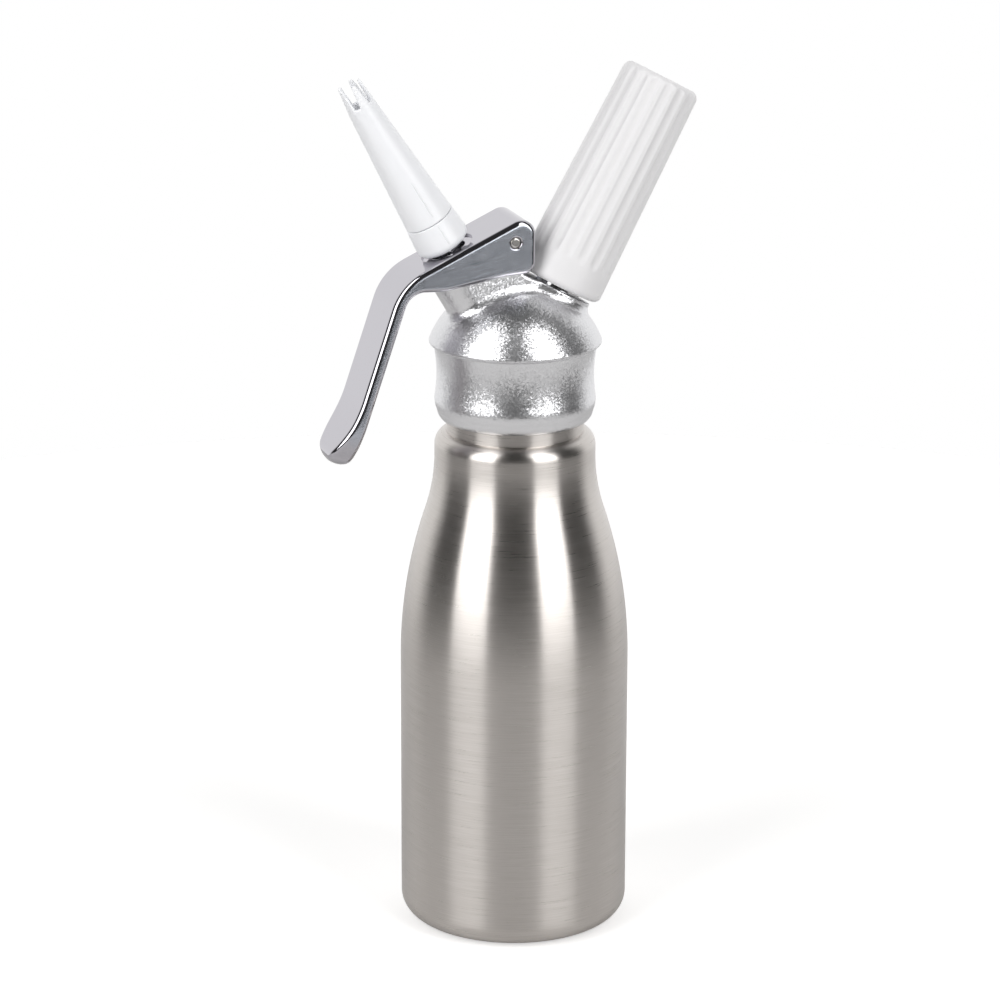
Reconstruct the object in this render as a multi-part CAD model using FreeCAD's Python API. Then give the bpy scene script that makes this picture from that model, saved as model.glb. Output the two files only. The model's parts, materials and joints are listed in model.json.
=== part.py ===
import FreeCAD, Part
import math
import os
from FreeCAD import Placement, Rotation, Vector

# Whipped cream dispenser, half-litre size, in millimetres.
# Z is the bottle's axis, up. The origin is the centre of the face the bottle stands on.
# The lever and nozzle lean toward -X, the charger holder leans toward +X.

os.makedirs("parts", exist_ok=True)

# Fits
SLIP = 0.03              # radial gap of pieces of one body that are screwed or pressed together
RUNNING = 0.05           # radial gap of a pin or stem that turns or slides
THREAD_GAP = 0.3         # radial gap between a thread's crest and the root it faces
FACE_GAP = 0.05          # between faces that meet at rest on different bodies
WASHER_GAP = 0.2         # radial gap round a loose washer or pad
BREAK = 0.3              # round that breaks the corners of turned pieces
BURY = 0.2               # depth of a thread ridge below the wall that carries it
CLEAR = 20.0             # how far a cutter runs past what it cuts

# Bottle, drawn from stainless sheet
BODY_R = 40.0
BOTTLE_WALL = 1.0
FOOT_CORNER_R = 7.8      # round between the side and the foot
SHOULDER_OUT_R = 170.0   # outward curve of the shoulder, above the straight side
SHOULDER_IN_R = 64.0     # inward curve above it
COLLAR_R = 28.0          # narrowest width, under the neck
COLLAR_LONG = 3.5        # straight stretch above the inward curve
COLLAR_TOP_Z = 173.5     # where the round step to the neck starts
COLLAR_CORNER_R = 5.0

# Neck ring, machined and welded to the bottle
NECK_BAND_R = 24.0       # plain band under the thread
NECK_BAND_TOP_Z = 184.6
NECK_ROOT_R = 22.9
NECK_BORE_R = 21.4
NECK_TOP_Z = 205.0
NECK_CORNER_R = 0.5
NECK_SPIGOT_RISE = 2.0   # from the collar's top to the foot of the ring, inside the bottle
NECK_PITCH = 4.0
NECK_TURNS = 3
NECK_THREAD_HIGH = 1.3   # height of the ridge
NECK_THREAD_Z = 187.2    # centre of the ridge where it starts
NECK_THREAD_WIDE = 1.7   # width of the ridge at its root
NECK_THREAD_CREST = 1.0

# Head, cast aluminium; its skirt runs through these points, as (radius, height)
LIP = (25.5, 183.0)
LIP_ROUND = (26.35, 184.0)
SKIRT_EDGE = (27.2, 186.4)
SKIRT_BULGE = (27.8, 188.4)
SKIRT_WAIST_FOOT = (27.78, 191.6)
WAIST = (27.25, 198.5)
UNDERCUT = (28.2, 208.9)  # under the ridge, where the waist's curve ends
RIDGE = (29.4, 209.9)    # crisp lower edge of the dome
DOME_FOOT_ROUND = 0.15   # how far the band between the ridge and the dome bulges
DOME_R = 32.6
DOME_CENTRE_Z = 199.2
DOME_FOOT_Z = 212.8      # where the dome springs from the ridge
GASKET_THICK = 2.5
GASKET_BORE_R = 20.6
CAVITY_R = 19.5          # dished space above the neck
CAVITY_TOP_Z = 213.0
CAVITY_CORNER_R = 2.0
HEAD_THREAD_ROOM = 0.1   # more radial room round the large thread
HEAD_WEB_T = 19.0        # width of the web between the two bosses
HEAD_COVE_R = 2.2        # hollow round where the web and the valve boss meet the dome
COVE_END = 15.5          # degrees past the bottle's axis where the cove runs into the rim
RIM_COVE_R = 1.6

# Valve, on an axis that leans toward the lever
VALVE_TILT = 30.65
VALVE_CROSS_Z = 202.8    # where the valve axis crosses the bottle axis
VALVE_BOSS_TOP = 39.4    # along the valve axis, as are all lengths of this block
BOSS_LAND = 4.4          # from the spring's pocket to the web's slope
BOSS_FOOT = 5.0
POPPET_ROOM_R = 7.2
SEAT_AT = 16.5
SEAT_R = 4.3
SEAT_DEEP = 6.0
BUSH_LONG = 7.5
BUSH_R = 5.8
STEM_R = 3.5
STEM_NECK_R = 3.0
STEM_NECK_LONG = 5.5     # slim stretch above the seat
STEM_BORE_R = 2.2
STEM_PORT_R = 1.3
STEM_PORT_RISE = 3.5     # from the seat to the cross holes
STEM_BORE_DROP = 0.6     # bore below the cross holes, before its cone
STEM_BORE_CONE = 0.8
STEM_TOP = 62.0
POPPET_R = 5.8
POPPET_THICK = 1.5
SEAL_R = 6.3
SEAL_THICK = 3.0
STEM_RING_WIRE_R = 0.75
STEM_RING_GROOVE = 2.0   # width of the groove in the bush
SPRING_POCKET_R = 6.5
SPRING_WIRE_R = 0.55
SPRING_COIL_R = 5.2
SPRING_COILS = 6
SPRING_GROUND = 0.3      # ground off each end, from the wire's centre
SPRING_WASHER_THICK = 0.6
STEM_COLLAR_R = 7.4
STEM_COLLAR_THICK = 1.4
STEM_HEX = 8.0           # across flats

# Nozzle adapter and decorating nozzle, on the valve axis
ADAPTER_FOOT = 50.0
ADAPTER_R = 9.8          # side carried down to the foot, before its corner is rounded
ADAPTER_CORNER_R = 3.2
ADAPTER_TOP = 61.2
ADAPTER_TOP_R = 8.75
SPIGOT_R = 6.0
SPIGOT_TOP = 68.0
SPIGOT_BORE_R = 4.2
NOZZLE_PITCH = 2.0
NOZZLE_TURNS = 2
NOZZLE_THREAD_HIGH = 0.65
NOZZLE_THREAD_AT = 63.2
NOZZLE_GAP = 0.25        # open line between adapter and nozzle
NOZZLE_R = 8.65
NOZZLE_TIP = 116.6
NOZZLE_TIP_R = 4.4
NOZZLE_WALL = 1.25
NOZZLE_LEDGE_R = 5.0     # bore past the ring's ledge
NOZZLE_RING_WIRE_R = 0.85
SLOT_COUNT = 5
SLOT_LONG = 7.8
SLOT_WIDE = 2.0          # at the closed end of a slot
SLOT_MOUTH = 3.4         # at the tip
SLOT_TURN = 47.0         # degrees from the lever plane to the first slot
SLOT_INNER_R = 1.0       # where the cutter of one slot ends, inside the bore
PRONG_ROUND = 0.75
MOULD_RIB = 0.22         # height of the moulded ribs on adapter and nozzle
MOULD_RIB_WIDE = 0.5
MOULD_RIB_LONG = 14.0
MOULD_RIB_START = 2.5    # from the nozzle's foot
MOULD_RIB_STOP = 0.5     # short of the adapter's top

# Lever, cast and polished
PIN_X = -4.0
PIN_Z = 247.5
PIN_R = 1.9
PIN_DOME = 0.76          # round of the pin's ends
PIN_SHORT = 0.15         # from a cheek's face down to the pin's end
LUG_R = 3.4              # round end of the web around the pin
LEVER_WIDE = 24.0
LEVER_SPAN = 120.0       # longer than the lever, for its plan
LEVER_PLATE = 2.4        # top plate over the web
CHEEK_GAP = 0.4          # between a cheek and the web
LEVER_EDGE_R = 1.8       # round along the sides and the tongue
LEVER_TOP_CORNER_R = 6.2
LEVER_LOW_CORNER_R = 4.0
TONGUE_LONG = 18.0       # rounded end of the arm
TONGUE_SHORT = 0.3       # how far it stops short of the points below
LEVER_TOP_SLOPE = 24.5   # degrees
LEVER_TOP_RISE = 6.17    # from the pin's centre square to the top face
LEVER_END_X = 4.0
LEVER_END_WALL = 2.4
LEVER_END_WALL_LOW = 1.0 # from the pin's centre up to the end wall's lower edge
LEVER_BEND = (-44.9, 235.7)
LEVER_BEND_R = 21.0
LEVER_FLARE = (-60.3, 190.3)
LEVER_FLARE_R = 45.0
LEVER_TIP_OUT = (-70.9, 175.0)
LEVER_TIP_IN = (-62.6, 170.0)
LEVER_ARMPIT = (-41.2, 232.6)
LEVER_ARMPIT_R = 7.0
CHEEK_LOW = (-29.0, 232.7)
CHEEK_LOW_R = 20.0
CHEEK_MID = (-8.0, 236.4)
CHEEK_MID_R = 40.0
CHEEK_END_Z = 237.1
POCKET_END_X = -35.0     # end of the hollow under the plate
POCKET_CORNER_R = 2.0
LEVER_HOLE_LONG = 6.2    # half length of the oval hole for the stem collar
LEVER_HOLE_WIDE = 5.0
SPOT_FACE_R = 9.4
SPOT_FACE_DEEP = 0.8
COUNTERSINK_R = 2.6
COUNTERSINK_DEEP = 0.5

# Charger socket and holder, on an axis that leans away from the lever
HOLDER_TILT = 28.43
HOLDER_CROSS_Z = 200.6   # where the holder axis crosses the bottle axis
RIM_DROP = 1.6           # from the dome's radius down to the rim's top face
RIM_TOP = DOME_R - RIM_DROP    # along the holder axis, as are all lengths of this block
RIM_R = 13.0
RIM_DEEP = 9.5           # how far the rim's wall reaches down into the dome
RIM_SLOPE_DROP = 0.3     # where the web's slope runs out, below the rim's top face
RIM_SLOPE_ACROSS = -4.0  # and across from the holder axis
STUB_SHANK_R = 7.9
STUB_SHANK_LONG = 10.5   # below the rim's top face
STUB_FOOT = RIM_TOP - STUB_SHANK_LONG
STUB_WASHER_THICK = 1.0
STUB_RELIEF_R = 8.7
STUB_RELIEF_TOP = RIM_TOP + 2.2
STUB_ROOT_R = 9.45
STUB_LONG = 15.5         # above the rim's top face
STUB_TOP = RIM_TOP + STUB_LONG
STUB_SOCKET_R = 4.75
STUB_SOCKET_DEEP = 5.5
STUB_SOCKET_FLOOR = STUB_TOP - STUB_SOCKET_DEEP
HOLDER_PITCH = 2.0
STUB_TURNS = 5
INSERT_TURNS = 4
HOLDER_THREAD_HIGH = 0.85
HOLDER_THREAD_AT = RIM_TOP + 3.6
FINE_THREAD_WIDE = 0.95  # width of the fine ridges at their root
FINE_THREAD_CREST = 0.45
GAS_HOLE_R = 1.5
CHECK_ROOM_R = 3.5
CHECK_SEAT_THICK = 2.5   # metal between the check disc's room and the stub
CHECK_ROOM_TOP = STUB_FOOT - CHECK_SEAT_THICK
CHECK_DISC_THICK = 0.9
CHECK_DISC_GAP = 0.3     # round the disc, for the gas
INLET_SCREW_LONG = 2.4
INLET_HOLE_R = 1.2
INLET_SLOT_WIDE = 1.0
INLET_SLOT_DEEP = 0.8
INLET_DISH_DEEP = 0.6
INLET_DISH_RIM = 0.9
PIERCER_R = 2.4
PIERCER_FOOT = RIM_TOP + 2.0
PIERCER_NEEDLE_R = 1.0
PIERCER_BORE_R = 0.4
PIERCER_TIP = STUB_SOCKET_FLOOR + 3.7
PIERCER_POINT = 1.3      # length of the tapered point
PIERCER_TIP_WALL = 0.05
PIN_GASKET_THICK = 1.6
PIN_GASKET_BORE_R = 1.6
CHARGER_FACE = STUB_SOCKET_FLOOR + PIN_GASKET_THICK + FACE_GAP
CHARGER_R = 9.0
CHARGER_LONG = 65.5
CHARGER_END = CHARGER_FACE + CHARGER_LONG
CHARGER_NECK_R = 4.3
CHARGER_NECK_LONG = 8.5
CHARGER_NECK_ROUND = 1.8
CHARGER_SHOULDER_LONG = 6.0
CHARGER_SHOULDER_ROUND = 4.6
CHARGER_END_ROUND = 8.4
CHARGER_MOUTH_R = 3.0
CHARGER_WALL = 1.3
CHARGER_CAP_THICK = 0.8
PIERCED_HOLE_R = 1.3
HOLDER_GAP = 1.2         # open line between the rim and the holder
HOLDER_FOOT = RIM_TOP + HOLDER_GAP
PAD_FOOT = CHARGER_END + FACE_GAP
PAD_THICK = 1.5
HOLDER_TOP_WALL = 2.3
HOLDER_TOP = PAD_FOOT + PAD_THICK + HOLDER_TOP_WALL
HOLDER_FOOT_R = 15.5
HOLDER_TOP_R = 13.95
HOLDER_FOOT_CORNER_R = 2.4
HOLDER_TOP_CORNER_R = 2.8
HOLDER_BORE_R = 9.8
HOLDER_LIP_R = 10.7      # opening in the foot
HOLDER_LIP_THICK = 1.2
INSERT_WALL = 1.3
INSERT_LONG = 12.2
FLUTE_COUNT = 18
FLUTE_R = 2.6            # round of the cutter
FLUTE_DEEP = 0.6
FLUTE_START = 9.8        # from the foot to where the flutes fade out


def outline(corners):
    """Closed wire in the X-Z plane through corners (x, z) or (x, z, radius); a radius is a tangent arc."""
    count = len(corners)
    ends = []
    for i, corner in enumerate(corners):
        here = Vector(corner[0], 0, corner[1])
        radius = corner[2] if len(corner) > 2 else 0.0
        if radius <= 0:
            ends.append((here, None, here))
            continue
        before = corners[i - 1]
        after = corners[(i + 1) % count]
        to_before = (Vector(before[0], 0, before[1]) - here).normalize()
        to_after = (Vector(after[0], 0, after[1]) - here).normalize()
        half = to_before.getAngle(to_after) / 2
        middle = (to_before + to_after).normalize()
        setback = radius / math.tan(half)
        centre = here + middle * (radius / math.sin(half))
        ends.append((here + to_before * setback, centre - middle * radius, here + to_after * setback))
    edges = []
    for i, (start, via, end) in enumerate(ends):
        if via is not None:
            edges.append(Part.Arc(start, via, end).toShape())
        following = ends[(i + 1) % count][0]
        if end.distanceToPoint(following) > 1e-6:
            edges.append(Part.LineSegment(end, following).toShape())
    return Part.Wire(edges)


def turned(wire):
    """Solid of a closed X-Z wire turned about Z."""
    return Part.Face(wire).revolve(Vector(0, 0, 0), Vector(0, 0, 1), 360)


def ring(inner, outer, low, high):
    """Plain ring about Z."""
    if inner <= 0:
        return Part.makeCylinder(outer, high - low, Vector(0, 0, low))
    return turned(outline([(inner, low), (outer, low), (outer, high), (inner, high)]))


def rod(radius, low, high):
    return Part.makeCylinder(radius, high - low, Vector(0, 0, low))


def slab(wire, half_width):
    """X-Z wire made solid from -Y to +Y."""
    face = Part.Face(wire)
    face.translate(Vector(0, -half_width, 0))
    return face.extrude(Vector(0, 2 * half_width, 0))


def ridge(wall_r, height, pitch, turns, start, root_wide, crest_wide):
    """Thread ridge on a wall; a negative height points inward, as in a nut."""
    side = math.copysign(1.0, height)
    inside = wall_r - side * BURY
    crest = wall_r + height
    points = [
        Vector(inside, 0, start - root_wide / 2),
        Vector(crest, 0, start - crest_wide / 2),
        Vector(crest, 0, start + crest_wide / 2),
        Vector(inside, 0, start + root_wide / 2),
    ]
    profile = Part.makePolygon(points + points[:1])
    helix = Part.makeHelix(pitch, pitch * turns, wall_r)
    helix.translate(Vector(0, 0, start))
    return Part.Wire(helix.Edges).makePipeShell([profile], True, True)


def on_valve(shape):
    """Stand a shape that is built about Z on the valve axis."""
    placed = shape.copy()
    placed.Placement = Placement(Vector(0, 0, VALVE_CROSS_Z), Rotation(Vector(0, 1, 0), -VALVE_TILT))
    return placed


def on_holder(shape):
    """Stand a shape that is built about Z on the holder axis."""
    placed = shape.copy()
    placed.Placement = Placement(Vector(0, 0, HOLDER_CROSS_Z), Rotation(Vector(0, 1, 0), HOLDER_TILT))
    return placed


def lever_underside_along(across):
    """Length along the valve axis at which a line beside the axis meets the lever's top plate from below."""
    slope = math.radians(LEVER_TOP_SLOPE)
    tilt = math.radians(VALVE_TILT)
    x = across * math.cos(tilt) - PIN_X
    z = VALVE_CROSS_Z + across * math.sin(tilt) - PIN_Z
    rise = LEVER_TOP_RISE - LEVER_PLATE + x * math.sin(slope) - z * math.cos(slope)
    return rise / math.cos(tilt - slope)


STEM_COLLAR_TOP = lever_underside_along(STEM_COLLAR_R) - FACE_GAP


def valve_point(along, across=0.0):
    """(x, z) of a point by its length along the valve axis and its distance to the holder's side."""
    tilt = math.radians(VALVE_TILT)
    x = -along * math.sin(tilt) + across * math.cos(tilt)
    z = VALVE_CROSS_Z + along * math.cos(tilt) + across * math.sin(tilt)
    return x, z


def holder_point(along, across=0.0):
    """(x, z) of a point by its length along the holder axis and its distance away from the lever."""
    tilt = math.radians(HOLDER_TILT)
    x = along * math.sin(tilt) + across * math.cos(tilt)
    z = HOLDER_CROSS_Z + along * math.cos(tilt) - across * math.sin(tilt)
    return x, z


def arc(start, via, end):
    return Part.Arc(*[Vector(x, 0, z) for x, z in (start, via, end)]).toShape()


def line(start, end):
    return Part.LineSegment(Vector(start[0], 0, start[1]), Vector(end[0], 0, end[1])).toShape()


def arc_about(centre, radius, start_deg, end_deg):
    """Arc edge in the X-Z plane and its two ends, about a centre."""
    points = []
    for turn in (start_deg, (start_deg + end_deg) / 2, end_deg):
        points.append((centre[0] + radius * math.cos(math.radians(turn)),
                       centre[1] + radius * math.sin(math.radians(turn))))
    return arc(*points), points[0], points[2]


def bottle_form(inset):
    """Bottle as a full body, drawn in by the wall's thickness for the space inside."""
    reach = SHOULDER_OUT_R + SHOULDER_IN_R
    lean = math.degrees(math.acos((COLLAR_R + reach - BODY_R) / reach))
    in_centre = (COLLAR_R + SHOULDER_IN_R, COLLAR_TOP_Z - COLLAR_LONG)
    out_centre = (BODY_R - SHOULDER_OUT_R, in_centre[1] - reach * math.sin(math.radians(lean)))
    corner = (COLLAR_R - COLLAR_CORNER_R, COLLAR_TOP_Z)
    top_turn = math.degrees(math.acos((NECK_BAND_R - corner[0]) / COLLAR_CORNER_R))
    foot = (BODY_R - FOOT_CORNER_R, FOOT_CORNER_R)

    foot_arc, foot_low, foot_high = arc_about(foot, FOOT_CORNER_R - inset, -90, 0)
    out_arc, out_low, out_high = arc_about(out_centre, SHOULDER_OUT_R - inset, 0, lean)
    in_arc, in_low, in_high = arc_about(in_centre, SHOULDER_IN_R + inset, 180 + lean, 180)
    top_arc, top_low, top_high = arc_about(corner, COLLAR_CORNER_R - inset, 0, top_turn)

    edges = [
        line((0, inset), foot_low),
        foot_arc,
        line(foot_high, out_low),
        out_arc,
        in_arc,
        line(in_high, top_low),
        top_arc,
        line(top_high, (0, top_high[1])),
        line((0, top_high[1]), (0, inset)),
    ]
    return turned(Part.Wire(edges)), top_high[1]


def bottle_shell():
    full, top = bottle_form(0.0)
    space, _ = bottle_form(BOTTLE_WALL)
    mouth = rod(NECK_BAND_R - BOTTLE_WALL, COLLAR_TOP_Z, top + 1)
    return full.cut(space).cut(mouth), top


def neck_ring(shell_top):
    """Ring welded into the bottle's mouth, with the plain band and the thread above it."""
    spigot_r = NECK_BAND_R - BOTTLE_WALL - SLIP
    chamfer = NECK_BAND_R - NECK_ROOT_R
    body = turned(outline([
        (NECK_BORE_R, COLLAR_TOP_Z + NECK_SPIGOT_RISE),
        (spigot_r, COLLAR_TOP_Z + NECK_SPIGOT_RISE),
        (spigot_r, shell_top),
        (NECK_BAND_R, shell_top),
        (NECK_BAND_R, NECK_BAND_TOP_Z - chamfer),
        (NECK_ROOT_R, NECK_BAND_TOP_Z),
        (NECK_ROOT_R, NECK_TOP_Z, NECK_CORNER_R),
        (NECK_BORE_R, NECK_TOP_Z, NECK_CORNER_R),
    ]))
    thread = ridge(NECK_ROOT_R, NECK_THREAD_HIGH, NECK_PITCH, NECK_TURNS, NECK_THREAD_Z,
                   NECK_THREAD_WIDE, NECK_THREAD_CREST)
    return body.fuse(thread).removeSplitter()


HEAD_BORE_R = NECK_ROOT_R + NECK_THREAD_HIGH + THREAD_GAP + HEAD_THREAD_ROOM
HEAD_SEAT_Z = NECK_TOP_Z + GASKET_THICK


def head_gasket():
    return ring(GASKET_BORE_R, HEAD_BORE_R - THREAD_GAP, NECK_TOP_Z, HEAD_SEAT_Z)


def head_turned_form():
    """Skirt, waist, ridge and dome as one full turned body."""
    dome_foot_r = math.sqrt(DOME_R ** 2 - (DOME_FOOT_Z - DOME_CENTRE_Z) ** 2)
    start_turn = math.degrees(math.asin((DOME_FOOT_Z - DOME_CENTRE_Z) / DOME_R))
    dome, dome_low, apex = arc_about((0, DOME_CENTRE_Z), DOME_R, start_turn, 90)
    step = ((RIDGE[0] + dome_foot_r) / 2 + DOME_FOOT_ROUND, (RIDGE[1] + DOME_FOOT_Z) / 2)
    edges = [
        line((0, LIP[1]), LIP),
        arc(LIP, LIP_ROUND, SKIRT_EDGE),
        arc(SKIRT_EDGE, SKIRT_BULGE, SKIRT_WAIST_FOOT),
        arc(SKIRT_WAIST_FOOT, WAIST, UNDERCUT),
        line(UNDERCUT, RIDGE),
        arc(RIDGE, step, dome_low),
        dome,
        line(apex, (0, LIP[1])),
    ]
    return turned(Part.Wire(edges))


def upper_outline():
    """Side view of the valve boss and the web, with the lug that holds the pin and the rim's slope."""
    boss_right = valve_point(VALVE_BOSS_TOP, SPRING_POCKET_R + BOSS_LAND)
    to_pin = (PIN_X - boss_right[0], PIN_Z - boss_right[1])
    rise = math.atan2(to_pin[1], to_pin[0]) + math.asin(LUG_R / math.hypot(*to_pin))
    lug_x = PIN_X + LUG_R
    lug_top = boss_right[1] + (lug_x - boss_right[0]) * math.tan(rise)
    rim_end = holder_point(RIM_TOP - RIM_SLOPE_DROP, RIM_SLOPE_ACROSS)
    rim_start_z = rim_end[1] + (rim_end[0] - lug_x) * math.tan(math.radians(HOLDER_TILT))
    return outline([
        valve_point(VALVE_BOSS_TOP, -CLEAR),
        boss_right,
        (lug_x, lug_top, LUG_R),
        (lug_x, rim_start_z),
        rim_end,
        holder_point(0, RIM_SLOPE_ACROSS),
        valve_point(BOSS_FOOT, -CLEAR),
    ])


def upper_form():
    """Valve boss with its half-round end and the web beside it, as one prism cut to the side view."""
    half = HEAD_WEB_T / 2
    reach = 45.0
    round_end = Part.Arc(Vector(0, -half, 0), Vector(-half, 0, 0), Vector(0, half, 0)).toShape()
    straight = Part.makePolygon([Vector(0, half, 0), Vector(reach, half, 0),
                                 Vector(reach, -half, 0), Vector(0, -half, 0)])
    prism = Part.Face(Part.Wire([round_end] + straight.Edges)).extrude(Vector(0, 0, VALVE_BOSS_TOP + CLEAR))
    prism.translate(Vector(-dome_offset_from_valve(), 0, 0))
    return on_valve(prism).common(slab(upper_outline(), half + 1))


def dome_offset_from_valve():
    """Distance of the dome's centre from the valve axis; the boss is centred there, so its cove is even."""
    return (VALVE_CROSS_Z - DOME_CENTRE_Z) * math.sin(math.radians(VALVE_TILT))


def coves():
    """Hollow rounds along the foot of the boss and the web: a ball's path between them and the dome."""
    half = HEAD_WEB_T / 2
    ball = HEAD_COVE_R
    centre = (half + ball, math.sqrt((DOME_R + ball) ** 2 - (half + ball) ** 2))
    shrink = DOME_R / (DOME_R + ball)
    on_wall = (half, centre[1])
    on_dome = (centre[0] * shrink, centre[1] * shrink)
    corner = (half, math.sqrt(DOME_R ** 2 - half ** 2))
    away = math.hypot(centre[0] - corner[0], centre[1] - corner[1])
    via = tuple(c + (k - c) * ball / away for c, k in zip(centre, corner))
    buried = 1.5
    sunk = (on_dome[0], on_dome[1] - buried)
    edges = [
        arc(on_wall, via, on_dome),
        line(on_dome, sunk),
        line(sunk, (half - buried, sunk[1])),
        line((half - buried, sunk[1]), (half - buried, on_wall[1])),
        line((half - buried, on_wall[1]), on_wall),
    ]
    section = Part.Face(Part.Wire(edges))
    lean = Placement(Vector(0, 0, DOME_CENTRE_Z), Rotation(Vector(0, 1, 0), -VALVE_TILT))
    pieces = []
    to_near = section.copy()
    to_near.rotate(Vector(0, 0, 0), Vector(0, 0, 1), 90)
    boss_cove = to_near.revolve(Vector(0, 0, 0), Vector(0, 0, 1), 180)
    boss_cove.Placement = lean
    pieces.append(boss_cove)
    for side in (90, -90):
        web_section = section.copy()
        web_section.rotate(Vector(0, 0, 0), Vector(0, 0, 1), side)
        web_cove = web_section.revolve(Vector(0, 0, 0), Vector(0, 1, 0), VALVE_TILT + COVE_END)
        web_cove.Placement = lean
        pieces.append(web_cove)
    return pieces


def rim_foot_edges(body):
    """Edges where the round wall under the rim meets the dome."""
    centre = Vector(0, 0, DOME_CENTRE_Z)
    chosen = []
    for edge in body.Edges:
        span = edge.LastParameter - edge.FirstParameter
        points = [edge.valueAt(edge.FirstParameter + span * share) for share in (0, 0.25, 0.5, 0.75, 1)]
        on_dome = all(abs(p.distanceToPoint(centre) - DOME_R) < 0.02 for p in points)
        beside_rim = points[2].x > 0 and abs(points[2].y) > HEAD_WEB_T / 2
        if on_dome and beside_rim and edge.Length > RIM_R:
            chosen.append(edge)
    return chosen


def head():
    above_rim = on_holder(rod(RIM_R + RIM_COVE_R, RIM_TOP, RIM_TOP + CLEAR))
    rim = on_holder(rod(RIM_R, RIM_TOP - RIM_DEEP, RIM_TOP))
    body = head_turned_form().cut(above_rim).fuse([upper_form(), rim]).removeSplitter()
    body = body.makeFillet(RIM_COVE_R, rim_foot_edges(body))
    body = body.fuse(coves()).removeSplitter()

    bore = rod(HEAD_BORE_R, LIP[1] - CLEAR, HEAD_SEAT_Z)
    cavity = turned(outline([(0, HEAD_SEAT_Z - 1), (CAVITY_R, HEAD_SEAT_Z - 1),
                             (CAVITY_R, CAVITY_TOP_Z, CAVITY_CORNER_R), (0, CAVITY_TOP_Z)]))
    below = -CLEAR
    bush_foot = SEAT_AT + SEAT_DEEP
    valve_way = on_valve(rod(POPPET_ROOM_R, below, SEAT_AT).fuse([
        rod(SEAT_R, SEAT_AT - 1, bush_foot + 1),
        rod(BUSH_R + SLIP, bush_foot, bush_foot + BUSH_LONG),
        rod(SPRING_POCKET_R, bush_foot + BUSH_LONG, VALVE_BOSS_TOP + CLEAR),
    ]))
    above_cavity = Part.makeBox(100, 100, 100, Vector(-50, -50, CAVITY_TOP_Z - 3))
    valve_way = valve_way.common(above_cavity)
    gas_way = on_holder(rod(CHECK_ROOM_R, below, CHECK_ROOM_TOP).fuse([
        rod(GAS_HOLE_R, CHECK_ROOM_TOP - 1, STUB_FOOT),
        rod(STUB_SHANK_R + SLIP, STUB_FOOT - STUB_WASHER_THICK, RIM_TOP + CLEAR),
    ]))
    gas_way = gas_way.common(above_cavity)
    pin_hole = Part.makeCylinder(PIN_R + SLIP, 60, Vector(PIN_X, -30, PIN_Z), Vector(0, 1, 0))
    body = body.cut([bore, cavity, valve_way, gas_way, pin_hole])
    thread = ridge(HEAD_BORE_R, -NECK_THREAD_HIGH, NECK_PITCH, NECK_TURNS - 0.5,
                   NECK_THREAD_Z + NECK_PITCH / 2, NECK_THREAD_WIDE, NECK_THREAD_CREST)
    return body.fuse(thread)


def lever_pin():
    half = LEVER_WIDE / 2 - PIN_SHORT
    shank = Part.makeCylinder(PIN_R, 2 * half, Vector(PIN_X, -half, PIN_Z), Vector(0, 1, 0))
    rims = [edge for edge in shank.Edges if len(edge.Vertexes) == 1]
    return shank.makeFillet(PIN_DOME, rims)


BUSH_FOOT = SEAT_AT + SEAT_DEEP
BUSH_TOP = BUSH_FOOT + BUSH_LONG
STEM_RING_AT = BUSH_FOOT + BUSH_LONG / 2
STEM_RING_OUT_R = STEM_R + RUNNING + 2 * (STEM_RING_WIRE_R + RUNNING) + SLIP


def guide_bush():
    bore = STEM_R + RUNNING
    groove_low = STEM_RING_AT - STEM_RING_GROOVE / 2
    groove_high = STEM_RING_AT + STEM_RING_GROOVE / 2
    return on_valve(turned(outline([
        (bore, BUSH_FOOT),
        (BUSH_R, BUSH_FOOT, BREAK),
        (BUSH_R, BUSH_TOP),
        (bore, BUSH_TOP),
        (bore, groove_high),
        (STEM_RING_OUT_R, groove_high),
        (STEM_RING_OUT_R, groove_low),
        (bore, groove_low),
    ])))


def stem_ring():
    centre_r = STEM_RING_OUT_R - STEM_RING_WIRE_R - SLIP
    return on_valve(Part.makeTorus(centre_r, STEM_RING_WIRE_R, Vector(0, 0, STEM_RING_AT)))


def spring_washer():
    return on_valve(ring(STEM_R + WASHER_GAP, SPRING_POCKET_R - WASHER_GAP, BUSH_TOP,
                         BUSH_TOP + SPRING_WASHER_THICK))


def valve_spring():
    """Coil spring with ground ends, between the washer and the stem collar."""
    low = BUSH_TOP + SPRING_WASHER_THICK
    high = STEM_COLLAR_TOP - STEM_COLLAR_THICK - FACE_GAP
    start = low + SPRING_GROUND
    rise = high - low - 2 * SPRING_GROUND
    helix = Part.makeHelix(rise / SPRING_COILS, rise, SPRING_COIL_R)
    helix.translate(Vector(0, 0, start))
    slope = math.atan(rise / SPRING_COILS / (2 * math.pi * SPRING_COIL_R))
    across = Vector(0, math.cos(slope), math.sin(slope))
    section = Part.makeCircle(SPRING_WIRE_R, Vector(SPRING_COIL_R, 0, start), across)
    wire = Part.Wire(helix.Edges).makePipeShell([Part.Wire([section])], True, True)
    return on_valve(wire.common(rod(SPRING_POCKET_R, low, high)))


SEAL_TOP = SEAT_AT - FACE_GAP
POPPET_TOP = SEAL_TOP - SEAL_THICK


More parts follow.
